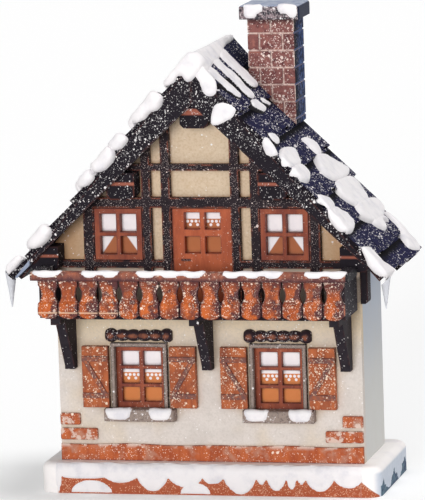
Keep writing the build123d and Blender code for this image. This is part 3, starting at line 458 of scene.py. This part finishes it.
def railing_stain():
    """Orange stain, each board darker towards its right edge, with the handrail's painted shadow across
    its head and a painted highlight low on the left boards.
    """
    paint = Paint("railing_stain")
    boards = paint.math("DIVIDE", paint.math("SUBTRACT", paint.x, railing_low.x), board_pitch)
    ragged = paint.wander(3.0, paint.noise(4.0))
    along = paint.math("ADD", paint.math("FRACT", boards), ragged)
    side = paint.both(paint.step(along, 0.5, 0.9), 0.85)
    # Painted shadow of the handrail across the board heads
    handrail_shadow = paint.both(paint.step(paint.z, *handrail_shadow_heights), 0.6)
    colour, grain = stained(paint, (210, 106, 46), (164, 76, 34), 0.6, 1.4, 0.9)
    colour = paint.layer(colour, CHARRED, paint.either(side, handrail_shadow))
    colour = flecked(paint, colour, 0.55, WOOD_SPLASH)
    # Painted highlight: a pale glint low across the left boards
    glint = paint.both(paint.between(paint.z, *glint_heights, 0.25), paint.step(paint.x, *glint_ends))
    colour = paint.layer(colour, tone(232, 196, 166), glint, 0.8)
    return paint.finish(colour, 0.6, grain, 0.2)


def handrail_paint():
    """Brown stain, darkened with painted shade along its foot, and black where it turns back to the
    wall.
    """
    paint = Paint("handrail_paint")
    colour, grain = stained(paint, (176, 104, 78), (122, 70, 56), 0.7)
    colour = flecked(paint, colour, 0.5, WOOD_SPLASH)
    # Painted shade along the foot of the handrail
    colour = paint.layer(colour, CHARRED, paint.step(paint.z, rail_high.z - 1.0, rail_high.z - 3.2), 0.8)
    rail_back = rail_low.y + rail_depth
    returns = paint.step(paint.y, rail_back - 0.3, rail_back + 0.3)
    ends = paint.step(paint.x, rail_high.x - 1.2, rail_high.x - 0.8)
    colour = paint.layer(colour, flecked(paint, BLACK_WOOD, 0.2), paint.either(returns, ends))
    return paint.finish(colour, 0.6, grain, 0.2)


def shutter_stain():
    """Orange stain with greyish battens."""
    paint = Paint("shutter_stain")
    colour, grain = stained(paint, (190, 104, 60), (152, 76, 44), 0.3, 0.6, 0.4)
    battens = paint.both(paint.step(paint.y, *batten_fronts), paint.patches(1.6, 0.25, 0.6))
    colour = paint.layer(colour, tone(94, 72, 74), battens, 0.8)
    colour = flecked(paint, colour, 0.36, tone(244, 224, 200), size=1.1)
    return paint.finish(colour, 0.6, grain, 0.2)


def brick_paint():
    """Clay bricks, smudged, with drifts of plaster above the lowest course."""
    paint = Paint("brick_paint")
    colour, grain = stained(paint, (194, 102, 58), (166, 78, 44), 0.1)
    colour = flecked(paint, colour, 0.42, WOOD_SPLASH)
    colour = paint.layer(colour, tone(186, 150, 132), paint.patches(6.0, 0.48, 0.66), 0.5)
    drifts = paint.both(paint.patches(4.0, 0.5, 0.58), paint.step(paint.z, *brick_drifts))
    colour = paint.layer(colour, tone(226, 208, 196), drifts, 0.75)
    return paint.finish(colour, 0.7, grain, 0.25)


def joinery_stain(name, light, dark, scorch):
    """Smooth stained wood of the door and the window frames."""
    paint = Paint(name)
    colour, grain = stained(paint, light, dark, scorch)
    return paint.finish(flecked(paint, colour, 0.06, WOOD_SPLASH), 0.55, grain, 0.15)


def lintel_paint():
    """Dark turned wood, with a painted red highlight where it swells to the front and painted shade
    where it turns away.
    """
    paint = Paint("lintel_paint")
    _, backward, _ = paint.parts_of(paint.normal)
    forward = paint.math("MULTIPLY", backward, -1.0)
    ragged = paint.wander(0.3, paint.noise(1.2))
    # Painted highlight and shade: red where the bead faces the front, dark where it turns away
    front = paint.step(paint.math("ADD", forward, ragged), 0.84, 1.04)
    red = paint.mix(paint.noise(1.4), tone(104, 58, 46), tone(166, 96, 64))
    colour = paint.mix(front, tone(48, 34, 40), red)
    return paint.finish(flecked(paint, colour, 0.24), 0.55, paint.noise(0.8), 0.15)


def stone_paint(name, rim_share):
    """Speckled grey, scorched along its edges, with painted shade in its corners."""
    paint = Paint(name)
    colour = paint.mix(paint.noise(2.5), tone(134, 120, 112), tone(166, 148, 138))
    colour = paint.layer(colour, tone(108, 94, 90), paint.patches(0.9, 0.5, 0.7))
    colour = paint.layer(colour, tone(40, 32, 36), paint.edges(0.9), rim_share)
    # Painted shade in the corners
    colour = paint.layer(colour, tone(44, 34, 36), paint.corners(1.8), 0.8)
    return paint.finish(flecked(paint, colour, 0.34), 0.7, paint.noise(0.7), 0.15)


def lace_dots(paint, beside, row_height, pitch):
    """A row of printed dots, evenly about the middle of each pane."""
    across = paint.math("PINGPONG", paint.math("ADD", beside, pitch / 2), pitch / 2)
    tall = paint.math("SUBTRACT", paint.z, row_height)
    apart = paint.math("SQRT", paint.math("ADD", paint.math("MULTIPLY", across, across),
                                          paint.math("MULTIPLY", tall, tall)))
    return paint.step(apart, lace_dot + 0.1, lace_dot - 0.1)


def lace(paint, centre, pane_centre, strip_bottom):
    """A printed strip of lace with two rows of dots hanging from it, as a mask."""
    beside = paint.math("SUBTRACT", paint.aside(centre), pane_centre)
    shown = paint.step(paint.z, strip_bottom - 0.15, strip_bottom + 0.15)
    for drop, pitch in lace_rows.items():
        shown = paint.either(shown, lace_dots(paint, beside, strip_bottom - drop, pitch))
    return shown


def curtains(paint):
    """Curtains drawn aside in the lower panes of the upper windows, as a mask."""
    edge = paint.add("ShaderNodeMapRange", {0: paint.z, 1: curtain_foot, 2: curtain_head,
                                            3: foot_gap, 4: head_gap}).outputs[0]
    drawn = paint.step(paint.math("SUBTRACT", paint.aside(upper_window_centre), edge), -0.3, 0.3)
    return paint.either(drawn, paint.step(paint.z, curtain_head, curtain_head + 0.4))


def pane_print(paint, pale_mask, glow_share):
    """A printed pane, amber and white where the mask is, darkened by painted shade at its edges and
    glowing faintly with painted light.
    """
    glow = paint.mix(paint.noise(4.0), AMBER, tone(204, 126, 70))
    glow = paint.mix(glow_share, tone(120, 60, 40), glow)
    pale = paint.mix(paint.noise(3.0), PANE_WHITE, tone(220, 214, 218))
    colour = paint.layer(glow, pale, pale_mask)
    # Painted shade at the pane's edges, in the recess of the frame
    colour = paint.layer(colour, tone(64, 36, 28), paint.corners(1.6), 0.75)
    # Painted light: the print glows faintly in its own colour
    material = paint.finish(colour, 0.4, paint.noise(2.0), 0.03, Emission_Strength=0.2)
    shader = paint.tree.nodes["Principled BSDF"]
    paint.tree.links.new(colour, shader.inputs["Emission Color"])
    return material


def lower_pane_print():
    paint = Paint("lower_pane_print")
    return pane_print(paint, lace(paint, window_centre, window_pane_centre, window_lace_bottom), 1.0)


def upper_pane_print():
    paint = Paint("upper_pane_print")
    return pane_print(paint, curtains(paint), 0.4)


def door_pane_print():
    paint = Paint("door_pane_print")
    return pane_print(paint, lace(paint, 0.0, door_pane_centre, door_lace_bottom), 0.55)


def brick_face(paint, joint_height):
    """Worn brick that follows the raked joints of the stack, with broken mortar."""
    along = paint.math("SUBTRACT", paint.x, stack_low.x)
    place = paint.add("ShaderNodeCombineXYZ", {0: along, 1: joint_height}).outputs[0]
    made = paint.add("ShaderNodeTexBrick", {"Vector": place, "Color1": tone(122, 78, 76),
                                            "Color2": tone(148, 98, 92), "Mortar": tone(134, 90, 84),
                                            "Scale": 1.0, "Mortar Size": 0.45, "Mortar Smooth": 0.5,
                                            "Brick Width": brick_width, "Row Height": brick_course})
    worn = paint.layer(made.outputs["Color"], tone(98, 58, 60), paint.patches(1.6, 0.45, 0.7))
    worn = paint.layer(worn, tone(162, 106, 96), paint.patches(2.6, 0.55, 0.75))
    broken = paint.math("MULTIPLY_ADD", paint.patches(1.3, 0.35, 0.6), 0.7, 0.3)
    return paint.layer(worn, tone(218, 194, 184), paint.both(made.outputs["Fac"], broken))


def night_side(paint, joint_height):
    """Night blue with paler bed joints, darkest near the front."""
    blue = paint.mix(paint.patches(2.0, 0.4, 0.65), tone(24, 30, 52), tone(72, 92, 138))
    lit = paint.step(paint.y, stack_low.y + 2.0, stack_low.y + 11.0)
    night = paint.mix(lit, tone(16, 18, 30), blue)
    bed = paint.step(paint.math("PINGPONG", joint_height, brick_course / 2), 0.6, 0.3)
    return paint.layer(night, tone(112, 132, 176), bed, 0.6)


def chimney_paint():
    """Brick in front and behind, night blue on the sides, with painted shade just under the cap."""
    paint = Paint("chimney_paint")
    rightward, _, _ = paint.parts_of(paint.normal)
    side = paint.step(paint.math("ABSOLUTE", rightward), 0.4, 0.6)
    joint_height = paint.math("SUBTRACT", paint.z, first_course)
    colour = paint.mix(side, brick_face(paint, joint_height), night_side(paint, joint_height))
    # Painted shade under the cap's overhang
    cap_shade = paint.step(paint.z, stack_high.z - 3.0, stack_high.z - 0.5)
    colour = paint.layer(colour, tone(50, 38, 42), cap_shade, 0.7)
    facing = paint.math("MULTIPLY_ADD", side, -0.8, 1.0)
    colour = flecked(paint, colour, 0.8, tone(246, 230, 222), facing, 1.2)
    return paint.finish(colour, 0.75, paint.noise(0.9), 0.2, Specular_IOR_Level=0.05)


def cap_paint():
    """Scorched front thick with splashes, a night blue right side and a pale blue top."""
    paint = Paint("cap_paint")
    wood = paint.mix(paint.noise(4.0), BLACK_WOOD, tone(50, 44, 56))
    wood = paint.layer(wood, tone(148, 130, 134), paint.patches(1.4, 0.4, 0.65))
    colour = flecked(paint, wood, 1.05)
    rightward, _, upward = paint.parts_of(paint.normal)
    night = paint.mix(paint.noise(2.0), tone(8, 12, 26), tone(24, 36, 66))
    colour = paint.layer(colour, night, paint.step(rightward, 0.4, 0.7))
    frost = paint.mix(paint.patches(3.0, 0.35, 0.65), tone(170, 176, 190), tone(134, 144, 170))
    colour = paint.layer(colour, frost, paint.step(upward, 0.55, 0.8))
    return paint.finish(colour, 0.65, paint.noise(0.8), 0.15)


def plain_paint(name, light, dark, rough=0.5, **extra):
    """A manufactured piece: fine mottling and a fine grain."""
    paint = Paint(name)
    colour = paint.mix(paint.noise(2.5), tone(*light), tone(*dark))
    return paint.finish(colour, rough, paint.noise(0.5), 0.03, **extra)


def ice_resin():
    paint = Paint("ice_resin")
    colour = paint.mix(paint.noise(3.0), tone(236, 236, 240), tone(208, 210, 218))
    return paint.finish(colour, 0.25, paint.noise(1.5), 0.2, Transmission_Weight=0.2, IOR=1.31)


def coat(material, *names):
    """Gives CAD nodes their material."""
    for name in names:
        mesh = nodes[name].data
        mesh.materials.clear()
        mesh.materials.append(material)


def pair(name):
    return name + "_left", name + "_right"


def paint_walls():
    coat(base_paint(), "base_plate")
    coat(wall_paint(), "front_wall")
    coat(gable_paint(), "gable_panel")
    coat(side_paint(), "back_wall", *pair("side_wall"))
    coat(brick_paint(), "brick_relief")


def paint_timber():
    timber_splash = tone(242, 222, 216)
    coat(black_wood("timber_paint", 0.42, 1.0, tint=timber_splash, pale=(60, 50, 54)), "timber_frame")
    coat(black_wood("bracket_stain", 0.05, 0.15, pale=(58, 52, 58)), "corner_posts",
         "bracket_middle", *pair("bracket"), *pair("balcony_end"))
    coat(black_wood("roof_under_paint", 0.07, 0.4), "balcony_floor", *pair("roof_board"))
    coat(black_wood("barge_paint", 0.72, 0.2, ice_from=barge_ice), *pair("bargeboard"))
    coat(black_wood("top_purlin_paint", 0.24, 0.5, top_highlight), "purlin_end_top")
    coat(black_wood("purlin_paint", 0.1, 0.5, middle_highlight), *pair("purlin_end"))
    coat(black_wood("eave_purlin_paint", 0.03, 0.15, eave_highlight), *pair("eave_purlin"))


def paint_openings():
    frame_stain = joinery_stain("frame_paint", (162, 84, 56), (128, 58, 40), 0.15)
    coat(frame_stain, *pair("upper_window_frame"), *pair("lower_window_frame"))
    coat(joinery_stain("door_paint", (196, 100, 62), (166, 79, 48), 0.1), "balcony_door")
    coat(upper_pane_print(), "upper_window_panes")
    coat(lower_pane_print(), "lower_window_panes")
    coat(door_pane_print(), "balcony_door_pane")
    coat(stone_paint("stone_paint", 0.85), *pair("window_surround"))
    coat(stone_paint("sill_paint", 0.3), *pair("window_sill"))
    coat(lintel_paint(), *pair("window_lintel"))
    coat(shutter_stain(), "shutter_left_outer", "shutter_left_inner",
         "shutter_right_outer", "shutter_right_inner")


def paint_balcony_and_roof():
    coat(railing_stain(), "balcony_railing")
    coat(handrail_paint(), "balcony_handrail")
    coat(shingle_paint(), *pair("shingle_rows"))
    coat(chimney_paint(), "chimney_stack")
    coat(cap_paint(), "chimney_cap")
    coat(ice_resin(), "icicles")


def paint_lamp_unit():
    coat(plain_paint("box_plastic", (58, 58, 60), (48, 48, 50)), "battery_box")
    coat(plain_paint("lid_plastic", (64, 64, 66), (52, 52, 54)), "battery_lid")
    coat(plain_paint("switch_plastic", (214, 212, 206), (196, 194, 188)), "switch_slider")
    coat(plain_paint("cell_sleeve", (96, 110, 90), (80, 92, 76), 0.35), "battery_cells")
    coat(plain_paint("contact_steel", (190, 190, 186), (160, 160, 156), 0.3, Metallic=1.0),
         "battery_contacts")
    coat(plain_paint("screw_steel", (170, 170, 172), (140, 140, 142), 0.35, Metallic=1.0), "box_screws")
    coat(plain_paint("board_laminate", (60, 96, 66), (50, 82, 56)), "lamp_board")
    coat(plain_paint("lamp_resin", (240, 226, 190), (226, 210, 170), 0.2), "lamp")


paint_walls()
paint_timber()
paint_openings()
paint_balcony_and_roof()
paint_lamp_unit()


class Fold:
    """A top face and the front face it turns down into, with a rounded edge between, lengths in mm.

    u runs along the edge. t runs back over the top from the edge, and is negative down the front.
    """

    def __init__(self, corner, along, out, radius=0.6):
        self.corner = corner
        self.along = along
        self.out = out
        self.radius = radius
        self.flips = along.cross(BACKWARDS).dot(out) < 0

    def at(self, u, t, lift):
        if t > self.radius:
            place, normal = BACKWARDS * t, self.out
        elif t < -self.radius:
            place, normal = self.out * t, -BACKWARDS
        else:
            angle = (t + self.radius) / (2 * self.radius) * math.pi / 2
            normal = self.out * math.sin(angle) - BACKWARDS * math.cos(angle)
            place = (normal - self.out + BACKWARDS) * self.radius
        return self.corner + self.along * u + place + normal * lift


def rounded(points, per_span=6):
    """A closed curve through the points."""
    count = len(points)
    line = []
    for n in range(count):
        a, b, c, d = (np.array(points[(n + k) % count], float) for k in (-1, 0, 1, 2))
        for step in range(per_span):
            s = step / per_span
            line.append(0.5 * (2 * b + (c - a) * s + (2 * a - 5 * b + 4 * c - d) * s * s
                               + (3 * b - a - 3 * c + d) * s ** 3))
    return np.array(line)


def distance_to(line, places):
    """Shortest distance from each place to the closed line."""
    start, end = line, np.roll(line, -1, axis=0)
    span = end - start
    length = np.maximum((span ** 2).sum(1), 1e-9)
    offset = places[:, None, :] - start[None]
    share = np.clip((offset * span[None]).sum(2) / length, 0, 1)
    near = start[None] + share[..., None] * span[None]
    return np.sqrt(((places[:, None, :] - near) ** 2).sum(2)).min(1)


def inside(line, places):
    """Whether each place lies within the closed line."""
    start, end = line, np.roll(line, -1, axis=0)
    x, y = places[:, 0:1], places[:, 1:2]
    crosses = (start[:, 1] > y) != (end[:, 1] > y)
    rise = np.where(end[:, 1] == start[:, 1], 1e-9, end[:, 1] - start[:, 1])
    at_x = start[:, 0] + (y - start[:, 1]) * (end[:, 0] - start[:, 0]) / rise
    return (crosses & (x < at_x)).sum(1) % 2 == 1


# Snow, lengths in mm: its mesh and its lumps, then for each place how thick it lies, how far in from
# its rim it is rounded, and how deep the rim is sunk into what it lies on
snow_grid = 0.8
rim_gap = 0.25
lump_height = 0.5
lump_size = 4.0
roof_coat = {"thick": 0.9, "round_in": 2.0, "sink": 2.7}
apex_coat = {"thick": 1.7, "round_in": 2.6, "sink": 2.7}
edge_coat = {"thick": 2.9, "round_in": 2.6, "sink": 2.7}
rail_coat = {"thick": 0.6, "round_in": 1.0, "sink": 1.0}
sill_coat = {"thick": 0.7, "round_in": 1.2, "sink": 1.0}
cap_coat = {"thick": 0.7, "round_in": 1.5, "sink": 1.0}
base_coat = {"thick": 0.5, "round_in": 1.0, "sink": 0.4}
lobe_steps = 12
mound_steps = 20
plain_snow = snow_paint("snow_paint")
# Snow whose rim is darkened with painted shade where it meets the shingles
rim_shaded_snow = snow_paint("rim_shaded_snow", 0.44)


def snow(name, fold, line, thick, round_in, sink, material=plain_snow):
    """A pillow of snow paint lying on a fold, its rim sunk into what it lies on."""
    low, high = line.min(0), line.max(0)
    grid = np.array([(u, t) for u in np.arange(low[0], high[0], snow_grid)
                     for t in np.arange(low[1], high[1], snow_grid)])
    grid = grid[inside(line, grid)]
    grid = grid[distance_to(line, grid) > rim_gap]
    places = [Vector(p) for p in np.concatenate([line, grid])]
    flat = delaunay_2d_cdt(places, [], [list(range(len(line)))], 1, 1e-5)
    spots = np.array([tuple(p) for p in flat[0]])
    depth = np.minimum(distance_to(line, spots) / round_in, 1)
    dome = np.sqrt(1 - (1 - depth) ** 2)
    made = []
    for (u, t), share in zip(spots, dome):
        lump = lump_height * noise.noise(Vector((u, t, len(line))) / lump_size) * share
        made.append(fold.at(u, t, (thick + sink) * share - sink + lump) * MM)
    faces = [list(reversed(f)) if fold.flips else list(f) for f in flat[2]]
    mesh = bpy.data.meshes.new(name)
    mesh.from_pydata(made, [], faces)
    mesh.polygons.foreach_set("use_smooth", [True] * len(faces))
    mesh.attributes.new("rim", "FLOAT", "POINT").data.foreach_set("value", depth)
    mesh.materials.append(material)
    piece = bpy.data.objects.new(name, mesh)
    bpy.context.scene.collection.objects.link(piece)
    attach(piece, "house")


# Snow on the roof. Each outline runs round one patch: mm down the slope from the ridge, then mm back
# from the front edge, which is below nought where the patch hangs over the front plate
right_patches = {
    "ridge": [(-1, 1), (-1, 36), (-1, 70), (3, 71), (4, 52), (7, 36), (8, 20), (10, 4), (10, -2),
              (6, -2)],
    "finger_high": [(3, 46), (12, 48), (23, 51), (25, 46), (23, 39), (14, 36), (5, 34)],
    "finger_middle": [(5, 28), (12, 31), (22, 34), (28, 33), (27, 25), (20, 23), (10, 19.5), (6, 19)],
    "finger_low": [(7, 12), (14, 15.5), (24, 18.5), (25, 13), (20, 8), (12, 4), (8, 4)],
    "drip": [(6, -3.6), (10, -5), (14, -6.4), (17, -6), (18.8, -3), (17.5, -0.5), (14, 2.5), (7, 3)],
    "chip_high": [(28, 39), (33, 46), (34, 42), (31, 36)],
    "chip_low": [(27, 24), (28, 32), (34, 34), (35, 28), (31, 20), (29, 20)],
    "plate_high": [(24, -11.8), (20.4, -7), (21.5, -2.6), (27, 0.8), (29.8, -3), (28.6, -9.4),
                   (26.4, -12.4)],
    "plate_low": [(43, -1), (43, 4), (48, 3), (52, 1), (52, -2), (49, -4.5), (45, -3)],
    "chip_middle": [(42, 9), (43, 16), (48, 16), (49, 9), (45, 7)],
    "heap_middle": [(50, 12), (52, 23), (58, 21), (61, 14), (60, 3), (57, -3), (53, 0)],
    "heap_middle_low": [(58, 8), (60, 17), (66, 16), (68, 6), (64, -1), (60, -3)],
    "long_head": [(51, 47), (53, 55), (58, 57), (62, 52), (61, 45), (55, 45)],
    "long_high": [(60, 44), (61, 54), (66, 62), (72, 68), (75, 63), (75, 48), (73, 37), (68, 33),
                  (63, 37)],
    "long_middle": [(73, 40), (74, 60), (78, 65), (84, 64), (88, 58), (88, 42), (85, 34), (79, 31),
                    (75, 34)],
    "long_low": [(85, 40), (86, 62), (90, 72), (95, 68), (97, 58), (97, 44), (93, 34), (88, 33)],
    "long_tip": [(94, 42), (95, 58), (100, 62), (98, 54), (102, 48), (98, 41)],
    "heap_low_head": [(73, 4), (76, 11), (81, 13), (83, 8), (82, 0), (77, 0)],
    "heap_low": [(80, 2), (81, 12), (86, 17), (91, 19), (94, 8), (92, -2), (87, -3.5), (82, -2)],
    "eave_front": [(100, 0), (102, 9), (108, 9), (116, 16), (116.5, 4), (115, -2.5), (109, -4),
                   (104, -2.5)],
    "eave_back": [(95, 69), (104, 71), (115, 71), (116.5, 64), (113, 56), (108, 59), (103, 65),
                  (97, 66)],
}
left_patches = {
    "apex": [(-1, 4), (8, 7), (14, 5), (17, 2), (15.5, -1), (12.5, -2.6), (9, -2.4), (9.4, -5.2),
             (8, -7.2), (5, -7.6), (1, -7.6), (-2, -5.5), (-2.6, -2.5), (-2, 1.5)],
    "first": [(20, 4), (19, -2), (22, -4.5), (25, -4.5), (28, -3), (31, -3), (35, -1), (39, 2),
              (36, 7), (26, 9)],
    "second": [(42, 4), (41, -2), (44, -3.5), (48, -2.5), (51, 2), (46, 8)],
    "third": [(48, 4), (49, -2), (53, -4), (58, -3.5), (61, -1), (63, 4), (55, 8)],
    "fourth": [(61, 4), (62, -2), (66, -2.5), (70, -0.5), (73, 4), (66, 7)],
    "fifth": [(90, 3), (90, -2), (93, -4), (97, -3.8), (101, -2), (104, 2), (101, 6), (95, 6)],
    "sixth": [(107, 3), (107, 0), (110, -0.8), (114, -0.8), (116.5, 0.2), (116, 4), (111, 5)],
}
unseen_patches = ["finger_high", "finger_middle", "long_head", "long_high", "long_middle", "long_low",
                  "eave_back"]
right_fold = Fold(Vector((0, roof_front, ridge_height)), down_right, out_right)
left_fold = Fold(Vector((0, roof_front, ridge_height)), down_left, out_left)


def roof_snow():
    for patch, outline in right_patches.items():
        material = rim_shaded_snow if patch.startswith(("finger", "chip")) else plain_snow
        snow("snow_right_" + patch, right_fold, rounded(outline), **roof_coat, material=material)
    for patch in unseen_patches:
        snow("snow_unseen_" + patch, left_fold, rounded(right_patches[patch]), **roof_coat)
    for patch, outline in left_patches.items():
        left_coat = apex_coat if patch == "apex" else edge_coat
        snow("snow_left_" + patch, left_fold, rounded(outline), **left_coat)


def strip(ends, hang, back, lobes, fullness):
    """Outline of snow along an edge: straight behind, hanging in lobes in front."""
    start, end = ends
    width = (end - start) / lobes
    line = [(start, back), (start, 0)]
    for n in range(lobes):
        for step in range(1, lobe_steps):
            share = step / lobe_steps
            line.append((start + (n + share) * width, -hang * math.sin(math.pi * share) ** fullness))
    return np.array(line + [(end, 0), (end, back)])


# Snow on the handrail, the sills and the chimney cap: the ends of each run in mm, on the handrail with
# the lobes it hangs in, and on the cap the outlines from its front left corner
rail_runs = {(-63.5, -51.0): 1, (-43.5, -27.5): 2, (-21.5, 7.0): 3, (13.5, 38.0): 3, (46.0, 63.5): 2}
rail_hang, rail_back, rail_fullness = 2.4, 3.6, 0.5
rail_fold = Fold(Vector((0, rail_low.y, rail_high.z)), RIGHT, UP)
sill_runs = [(-42.5, -31.0), (-24.8, -14.4), (14.2, 25.0), (32.3, 42.6)]
sill_hang, sill_back, sill_fullness = 4.6, 2.4, 0.2
sill_fold = Fold(Vector((0, sill_low.y, sill_high.z)), RIGHT, UP)
cap_patches = {
    "left": [(2.4, 1.5), (1.8, -2), (2.2, -4.6), (4.4, -5.5), (7, -5.2), (8.2, -3.6), (10, -2.8),
             (10.4, -1), (9, 1.5)],
    "right": [(16.4, 1.5), (15.8, -1.4), (16.8, -3.4), (19.4, -4), (21, -5.3), (23.2, -5.4),
              (24.4, -3.6), (24.4, -1), (23, 1.5)],
}
cap_fold = Fold(Vector((cap_low.x, cap_low.y, cap_high.z)), RIGHT, UP)


def ledge_snow():
    for n, (ends, lobes) in enumerate(rail_runs.items()):
        line = strip(ends, rail_hang, rail_back, lobes, rail_fullness)
        snow(f"snow_rail_{n}", rail_fold, line, **rail_coat)
    for n, ends in enumerate(sill_runs):
        line = strip(ends, sill_hang, sill_back, 1, sill_fullness)
        snow(f"snow_sill_{n}", sill_fold, line, **sill_coat)
    for patch, outline in cap_patches.items():
        snow("snow_cap_" + patch, cap_fold, rounded(outline), **cap_coat)


# Snow on the front of the base, in mm: x of each cusp, how far each drip between two cusps falls, and
# the ends and height of each mound at the foot
base_cusps = [-63.4, -60.2, -43, -29.5, -16.5, -2.5, 6, 19.5, 23.5, 31.5, 36, 39.5, 51, 62.6]
base_falls = [11.9, 6.6, 8.0, 11.4, 9.4, 8.2, 12.0, 8.0, 10.4, 9.8, 7.6, 10.4, 8.8]
cusp_fall = 5.8
drip_back = 2.0
drip_fullness = 0.7
base_mounds = {(-57, -39.5): 5.6, (-12, 1): 5.2}
base_fold = Fold(Vector((0, base_low.y, base_high.z)), RIGHT, UP, 3.0)


def drip_line():
    """Outline of the snow that runs down from the top of the base in drips."""
    line = [(base_cusps[0], drip_back)]
    for start, end, fall in zip(base_cusps, base_cusps[1:], base_falls):
        for step in range(lobe_steps):
            share = step / lobe_steps
            drop = cusp_fall + (fall - cusp_fall) * math.sin(math.pi * share) ** drip_fullness
            line.append((start + (end - start) * share, -drop))
    return np.array(line + [(base_cusps[-1], -cusp_fall), (base_cusps[-1], drip_back)])


def mound_line(ends, height):
    """Half an ellipse standing on the foot of the base."""
    middle, half = sum(ends) / 2, (ends[1] - ends[0]) / 2
    arc = [math.pi * step / mound_steps for step in range(mound_steps + 1)]
    foot = -base_high.z + 0.1
    return np.array([(middle - half * math.cos(a), foot + height * math.sin(a)) for a in arc])


def base_snow():
    snow("snow_base_drips", base_fold, drip_line(), **base_coat)
    for n, (ends, height) in enumerate(base_mounds.items()):
        snow(f"snow_base_mound_{n}", base_fold, mound_line(ends, height), **base_coat)


def door_handle():
    """A dark bar on the left half of the door."""
    bpy.ops.mesh.primitive_cube_add(size=1, location=handle_place * MM)
    bar = bpy.context.object
    bar.name = "door_handle"
    bar.scale = handle_size * MM
    bar.data.materials.append(nodes["timber_frame"].data.materials[0])
    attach(bar, "house")


def camera():
    back = Vector((math.sin(camera_turn) * math.cos(camera_rise),
                   -math.cos(camera_turn) * math.cos(camera_rise), math.sin(camera_rise)))
    level = Vector((math.cos(camera_turn), math.sin(camera_turn), 0))
    upright = back.cross(level)
    across = level * math.cos(camera_roll) + upright * math.sin(camera_roll)
    tall = upright * math.cos(camera_roll) - level * math.sin(camera_roll)
    data = bpy.data.cameras.new("camera")
    data.lens = camera_lens
    data.sensor_width = 36
    data.clip_end = 20
    eye = bpy.data.objects.new("camera", data)
    bpy.context.scene.collection.objects.link(eye)
    eye.matrix_world = Matrix((across, tall, back)).transposed().to_4x4()
    eye.location = (camera_target + back * camera_distance) * MM
    bpy.context.scene.camera = eye


# Light: towards where each lamp shines, and its strength
lamps = {
    "key": ((0.06, 0.985, -0.12), 1.95),
    "top": ((-0.25, 0.05, -0.97), 1.35),
    "side": ((-1, 0.1, -0.2), 0.35),
}
lamp_spread = math.radians(24)
room_strength = 0.4


def looked_at(tree):
    """1 for a ray that shows the ground behind the object: seen directly, mirrored or through glass."""
    ray = tree.nodes.new("ShaderNodeLightPath")
    shown = ray.outputs["Is Camera Ray"]
    for other in ("Is Glossy Ray", "Is Transmission Ray"):
        either = tree.nodes.new("ShaderNodeMath")
        either.operation = "MAXIMUM"
        tree.links.new(shown, either.inputs[0])
        tree.links.new(ray.outputs[other], either.inputs[1])
        shown = either.outputs[0]
    return shown


def lights():
    for name, (towards, strength) in lamps.items():
        data = bpy.data.lights.new(name, "SUN")
        data.energy = strength
        data.angle = lamp_spread
        lamp = bpy.data.objects.new(name, data)
        bpy.context.scene.collection.objects.link(lamp)
        lamp.rotation_euler = Vector(towards).to_track_quat("-Z", "Y").to_euler()


def room():
    """Dim white all round, full white where it is looked at."""
    world = bpy.data.worlds.new("room")
    world.use_nodes = True
    tree = world.node_tree
    dim = tree.nodes["Background"]
    dim.inputs["Color"].default_value = (1, 1, 1, 1)
    dim.inputs["Strength"].default_value = room_strength
    seen = tree.nodes.new("ShaderNodeBackground")
    seen.inputs["Color"].default_value = (1, 1, 1, 1)
    both = tree.nodes.new("ShaderNodeMixShader")
    tree.links.new(looked_at(tree), both.inputs[0])
    tree.links.new(dim.outputs[0], both.inputs[1])
    tree.links.new(seen.outputs[0], both.inputs[2])
    tree.links.new(both.outputs[0], tree.nodes["World Output"].inputs["Surface"])
    bpy.context.scene.world = world


# Floor: its size in m, how far below the object it lies in mm, its grey and its glow
floor_size = 6
floor_gap = 0.1
floor_grey = 0.8
floor_glow = 0.26


def floor():
    """A pale floor that keeps the object's shadow and looks white where it is lit."""
    bpy.ops.mesh.primitive_plane_add(size=floor_size, location=(0, 0, -floor_gap * MM))
    plane = bpy.context.object
    plane.name = "floor"
    material = bpy.data.materials.new("floor")
    material.use_nodes = True
    tree = material.node_tree
    matte = tree.nodes["Principled BSDF"]
    matte.inputs["Base Color"].default_value = (floor_grey, floor_grey, floor_grey, 1)
    matte.inputs["Roughness"].default_value = 0.9
    matte.inputs["Specular IOR Level"].default_value = 0
    matte.inputs["Emission Color"].default_value = (1, 1, 1, 1)
    glow = tree.nodes.new("ShaderNodeMath")
    glow.operation = "MULTIPLY"
    glow.inputs[1].default_value = floor_glow
    tree.links.new(looked_at(tree), glow.inputs[0])
    tree.links.new(glow.outputs[0], matte.inputs["Emission Strength"])
    plane.data.materials.append(material)


roof_snow()
ledge_snow()
base_snow()
door_handle()
camera()
lights()
room()
floor()
bpy.context.scene.view_settings.view_transform = "Standard"
